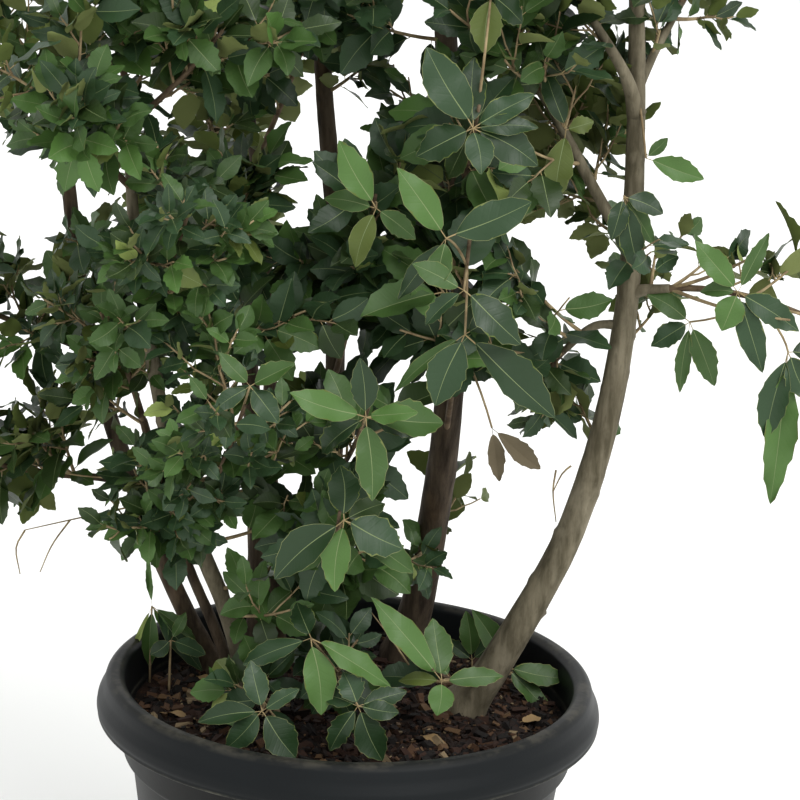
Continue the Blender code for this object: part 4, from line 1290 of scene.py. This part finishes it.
# Each shoot's end as a pixel and depth, its leaves' length in millimetres and about how many it bears
Shoot = namedtuple("Shoot", "across down depth leaf count")
SHOOTS = {
    "right": [
        (585, 25, -20, 50, 9), (618, 70, 20, 48, 4), (600, 150, 60, 48, 8), (560, 190, 40, 46, 7),
        (575, 90, -10, 50, 4), (545, 60, -40, 52, 8), (530, 20, -20, 52, 9), (660, 30, 10, 40, 4),
        (715, 15, 40, 36, 3), (590, 215, 30, 44, 6), (628, 240, -50, 48, 6), (655, 255, 0, 36, 4),
        (655, 310, 20, 48, 4), (705, 262, -20, 48, 5), (765, 250, -60, 46, 4), (790, 320, -80, 48, 6),
        (575, 390, 60, 44, 7), (560, 345, 30, 40, 4)],
    "front": [
        (330, 300, -60, 50, 8), (400, 330, -90, 50, 8), (410, 130, 40, 42, 8), (390, 90, 60, 40, 7),
        (400, 300, -40, 46, 7), (500, 250, -60, 50, 6), (520, 300, -80, 48, 4), (500, 385, -60, 48, 4),
        (530, 150, -60, 50, 7), (505, 60, -80, 52, 8), (450, 10, -80, 50, 7), (350, 490, -60, 46, 7),
        (460, 490, 150, 52, 4)],
    "upper_left": [
        (300, 260, -20, 50, 9), (290, 310, -40, 46, 9), (250, 180, 20, 44, 8), (210, 120, 60, 46, 9),
        (260, 60, 60, 46, 9), (225, 20, 0, 48, 9), (150, 60, -60, 44, 8), (300, 20, 40, 48, 9),
        (350, 15, 0, 48, 8), (120, 130, -20, 42, 8), (370, 60, 80, 42, 7), (180, 180, -80, 40, 8)],
    "twiggy": [
        (215, 240, -60, 38, 8), (300, 440, -60, 46, 8), (310, 400, 0, 48, 8), (250, 470, -20, 42, 8),
        (190, 520, -60, 40, 6), (150, 490, -60, 40, 7), (175, 300, -110, 34, 8), (130, 330, -90, 36, 8),
        (200, 420, -120, 34, 8), (110, 400, -20, 44, 8)],
    "left": [
        (60, 420, 20, 46, 8), (25, 330, 40, 46, 8), (30, 430, 20, 46, 8), (60, 300, 40, 46, 8),
        (90, 230, 20, 36, 6), (60, 60, 0, 46, 9), (20, 40, 20, 46, 8), (20, 100, 40, 44, 8)],
    "foot": [(300, 560, -60, 48, 6), (290, 610, -80, 46, 5), (405, 560, 20, 44, 4)],
}


def sprays_of(shoot, rng):
    """A shoot from the nearest limb to its end, and the sprays on it."""
    end = on_sight(shoot.across, shoot.down, shoot.depth)
    start, _, _ = limb_tree.find(end - UP * OUTER_BELOW * MM)
    reach = (end - start).length
    path = bent_path(start, start.lerp(end, 0.5) - UP * reach * OUTER_SAG, end, OUTER_STEPS)
    ahead = (path[-1] - path[-3]).normalized()
    count = round(shoot.count / SPRAY_LEAVES)
    found = [Twig(path, OUTER_RADIUS, max(OUTER_BARE, 1 - OUTER_LEAFY * shoot.leaf * MM / reach), 1)]
    for side in range(max(FEWEST_SPRAYS, count)):
        root = along(path, SPRAYS_FROM + SPRAYS_OVER * side / max(1, count))
        across = turned_round(ahead, rng.uniform(0, math.tau))
        way = (ahead * SPRAY_AHEAD + across * SPRAY_ASIDE + UP * SPRAY_LIFT).normalized()
        spray = twig_path(root, way, shoot.leaf * SPRAY_LENGTH * MM, rng)
        found.append(Twig(spray, FINE_RADIUS, SPRAY_LEAVES_FROM, 2))
    return found


for seed, (group, shoots) in enumerate(SHOOTS.items()):
    rng = random.Random(seed + OUTER_SEED)
    grown[group] = []
    leaves[group] = []
    for shoot in (Shoot(*values) for values in shoots):
        for twig in sprays_of(shoot, rng):
            found = [leaf for leaf in leaves_on(twig, shoot.leaf, rng) if has_room(leaf)]
            if found or twig.order == 1:
                grown[group].append(twig)
            leaves[group] += found

# Foliage
# The leaves of neighbouring masses make one piece. A blade is glossy dark green above, with a pale midrib
# and side veins pressed in, and dull and felted below, in a yellow-olive that is partly its own colour and
# partly painted light shining through the blade. Dead leaves are brown all over.
# The olive top is painted light: a blade lit through from behind, drawn as a paler yellow-green.
TOPS = {
    "dark": ("#24391f", 0.38), "cool": ("#2d4429", 0.42), "deep": ("#2b3d1c", 0.4), "mid": ("#3c5728", 0.44),
    "fresh": ("#4a6a31", 0.46), "olive": ("#525f28", 0.46), "new": ("#8c9c55", 0.6), "dead": ("#5e5543", 0.8),
    "fallen": ("#8b7350", 0.8),
}
TONES = list(TOPS)
WITHERED = ("dead", "fallen")
TOP_SHINE = 0.33
WITHERED_SHINE = 0.2
# The parts of a leaf besides its upper face, each with its colour and roughness
# The backs' yellow-olive is partly the felt's own colour and partly painted light shining through the blade.
OTHER_PARTS = {"back": ("#5a6733", 0.75), "back_felted": ("#6e7746", 0.75), "midrib": ("#76845a", 0.6),
               "edge": ("#7d8358", 0.65), "stalk": ("#a5926a", 0.7)}
# Side veins, on a blade one unit long whose midrib lies at half of the map's width
MIDRIB_AT = 0.5
VEIN_SWEEP = 0.55
VEIN_SPACING = 0.05
VEIN_WIDTH = 0.018
GROUPS = {
    "foot": ["foot_left", "foot_middle", "foot_right", "foot_rear", "low_front"],
    "front": ["mid_front", "centre", "front_high", "inner", "right_low"],
    "twiggy": ["twiggy", "twiggy_low", "thin_tip", "left_shoot"],
    "upper_left": ["upper_left", "upper_inner", "dark_middle", "middle_high"],
    "left": ["far_left_high", "side_upper", "side_lower"],
    "rear": ["rear_low", "rear_high", "tall_rear", "inner_bough"],
    "right": ["left_fork", "right_fork", "right_side", "inner_tip"],
    "crown_left": ["far_left_tip", "crown_left", "front_left_tip"],
    "crown_middle": ["dark_tip", "middle_tip", "crown_front"],
    "crown_rear": ["rear_tip", "crown_rear", "crown_right"],
    "crown_right": ["tall_tip", "tall_side", "right_tip"],
}


def leathery(name, base, roughness, specular):
    """A leaf's upper face: leathery, with a soft broken gloss over side veins that are pressed in."""
    finish, shader = new_finish(name, base, roughness, specular)
    across = add_node(finish, "SeparateXYZ", "X", {"Vector": add_node(finish, "UVMap", "UV", {})})
    from_rib = add_node(finish, "Math", "Value", {0: across, 1: MIDRIB_AT}, operation="SUBTRACT")
    from_rib = add_node(finish, "Math", "Value", {0: from_rib}, operation="ABSOLUTE")
    swept = add_node(finish, "Math", "Value", {0: from_rib, 1: -VEIN_SWEEP, 2: across.node.outputs["Y"]},
                     operation="MULTIPLY_ADD")
    veins = add_node(finish, "Math", "Value", {0: swept, 1: VEIN_SPACING}, operation="PINGPONG")
    veins = add_node(finish, "MapRange", "Result", {"Value": veins, "From Min": 0, "From Max": VEIN_WIDTH})
    pressed = add_node(finish, "Bump", "Normal", {"Height": veins, "Distance": 0.3 * MM, "Strength": 0.22})
    # Drawn coarser than the skin's own grain, which is too fine to show
    skin = add_node(finish, "Bump", "Normal", {"Height": grain(finish, 1.6), "Distance": 0.25 * MM,
                                               "Strength": 0.5, "Normal": pressed})
    gloss = blotches(finish, 9, (0.3, 0.7), (roughness - 0.06, roughness + 0.12))
    set_inputs(finish, shader, {"Normal": skin, "Roughness": gloss})
    return finish


def felted(name, base, roughness):
    """A leaf's underside, rib, edge or stalk: dull under a felt of fine hairs."""
    finish, shader = new_finish(name, base, roughness, 0.2)
    # Drawn coarser than the hairs, which are too fine to show
    felt = add_node(finish, "Bump", "Normal", {"Height": grain(finish, 1.2), "Distance": 0.25 * MM,
                                               "Strength": 0.5})
    dullness = blotches(finish, 6, (0.3, 0.7), (roughness - 0.08, roughness + 0.08))
    set_inputs(finish, shader, {"Normal": felt, "Roughness": dullness})
    return finish


def leaf_look(tone):
    """The number of the finish that each part of a leaf has. Every second green has the felted underside."""
    number = TONES.index(tone)
    if tone in WITHERED:
        return dict.fromkeys(("top", "back", "rib", "edge", "stalk"), number)
    count = len(TONES)
    return {"top": number, "back": count + number % 2, "rib": count + 2, "edge": count + 3,
            "stalk": count + 4}


def leaf_mesh(name, members):
    """Many leaves as one mesh, each shape set down in all its places at once."""
    points, faces, slots, marks = [], [], [], []
    total = 0
    for number, (shape, triangles, shows) in enumerate(leaf_shapes):
        chosen = [leaf for leaf in members if leaf.shape == number]
        if not chosen:
            continue
        root, ahead, face = (np.array([tuple(vector) for vector in vectors])[:, None] for vectors in
                             zip(*((leaf.root, leaf.along, leaf.face) for leaf in chosen)))
        size = np.array([leaf.length for leaf in chosen])[:, None, None]
        wide = np.array([leaf.wide for leaf in chosen])[:, None, None]
        side = np.cross(ahead, face)
        placed = root + size * (side * wide * shape[:, 0:1] + ahead * shape[:, 1:2] + face * shape[:, 2:3])
        points.append(placed.reshape(-1, 3))
        offsets = total + np.arange(len(chosen)) * len(shape)
        faces.append((triangles[None] + offsets[:, None, None]).reshape(-1, 3))
        total += len(shape) * len(chosen)
        for leaf in chosen:
            look = leaf_look(leaf.tone)
            slots += [look[show] for show in shows]
        flat = np.stack([shape[:, 0] + MIDRIB_AT, shape[:, 1]], axis=1)
        marks.append(np.tile(flat[triangles.ravel()], (len(chosen), 1)))
    points, faces = np.concatenate(points), np.concatenate(faces).astype(np.int32)
    mesh = bpy.data.meshes.new(name)
    mesh.vertices.add(len(points))
    mesh.vertices.foreach_set("co", points.astype(np.float32).ravel())
    mesh.loops.add(faces.size)
    mesh.loops.foreach_set("vertex_index", faces.ravel())
    mesh.polygons.add(len(faces))
    mesh.polygons.foreach_set("loop_start", np.arange(0, faces.size, 3, dtype=np.int32))
    mesh.polygons.foreach_set("material_index", np.array(slots, dtype=np.int32))
    mesh.polygons.foreach_set("use_smooth", np.ones(len(faces), dtype=bool))
    mesh.uv_layers.new(name="blade").data.foreach_set("uv", np.concatenate(marks).astype(np.float32).ravel())
    mesh.update(calc_edges=True)
    return mesh


leaf_finishes = []
for name, (base, roughness) in TOPS.items():
    shine = WITHERED_SHINE if name in WITHERED else TOP_SHINE
    leaf_finishes.append(leathery("leaf_top_" + name, base, roughness, shine))
for name, (base, roughness) in OTHER_PARTS.items():
    leaf_finishes.append(felted("leaf_" + name, base, roughness))
for group, members in GROUPS.items():
    names = ["leaves_" + member for member in members]
    held = sum((leaves[name] for name in names), []) + leaves.get(group, [])
    foliage = new_object("foliage_" + group, leaf_mesh("foliage_" + group, held), *leaf_finishes)
    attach(foliage, "root")
    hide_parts(*names)

# Wood of the shoots and twigs
# Round thin oak wood with no relief but its felt. The shoots are last year's and grey-brown, and their twigs
# are this year's, tan and felted.
SHOOT_SIDES = 7
TWIG_SIDES = 5


def tube(path, radii, sides):
    """A thin closed tube along a path, tapering from one radius to another in millimetres."""
    directions = tangents(path)
    turns = [math.tau * number / sides for number in range(sides)]
    side = directions[0].orthogonal().normalized()
    points = []
    for index, (middle, direction) in enumerate(zip(path, directions)):
        side = (side - direction * side.dot(direction)).normalized()
        other = direction.cross(side)
        radius = (radii[0] + (radii[1] - radii[0]) * index / (len(path) - 1)) * MM
        points += [middle + (side * math.cos(turn) + other * math.sin(turn)) * radius for turn in turns]
    return points, [*ring_faces(len(path), sides), *end_faces(len(points), sides)]


def thin_wood(name, base, deep):
    """Thin oak wood: matt, blotched along its length, and pale with felt where it is young."""
    finish, shader = new_finish(name, base, 0.85, 0.2)
    blotch = blotches(finish, 7, (0.4, 0.65), detail=4)
    mixed = add_node(finish, "Mix", MIXED, {SHARE: blotch, UNDER: deep, OVER: base}, data_type="RGBA")
    # Drawn coarser than the felt, which is too fine to show
    felt = add_node(finish, "Bump", "Normal", {"Height": grain(finish, 1.5, (1, 1, 0.4)),
                                               "Distance": 0.4 * MM, "Strength": 0.6})
    dullness = blotches(finish, 4, (0.3, 0.7), (0.75, 0.95))
    set_inputs(finish, shader, {"Base Color": mixed, "Normal": felt, "Roughness": dullness})
    return finish


points, faces, slots = [], [], []
for twig in sum(grown.values(), []):
    start = len(points)
    tube_points, tube_faces = tube(twig.path, twig.radii, TWIG_SIDES if twig.order else SHOOT_SIDES)
    points += tube_points
    faces += [tuple(start + index for index in face) for face in tube_faces]
    slots += [1 if twig.order else 0] * len(tube_faces)
twig_mesh = new_mesh("twigs", points, faces)
twig_mesh.polygons.foreach_set("material_index", slots)
twig_mesh.shade_smooth()
twigs = new_object("twigs", twig_mesh, thin_wood("oak_twig_grey_brown", "#75644f", "#4c3e30"),
                   thin_wood("oak_twig_felted_tan", "#a4926f", "#7b6a4f"))
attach(twigs, "root")
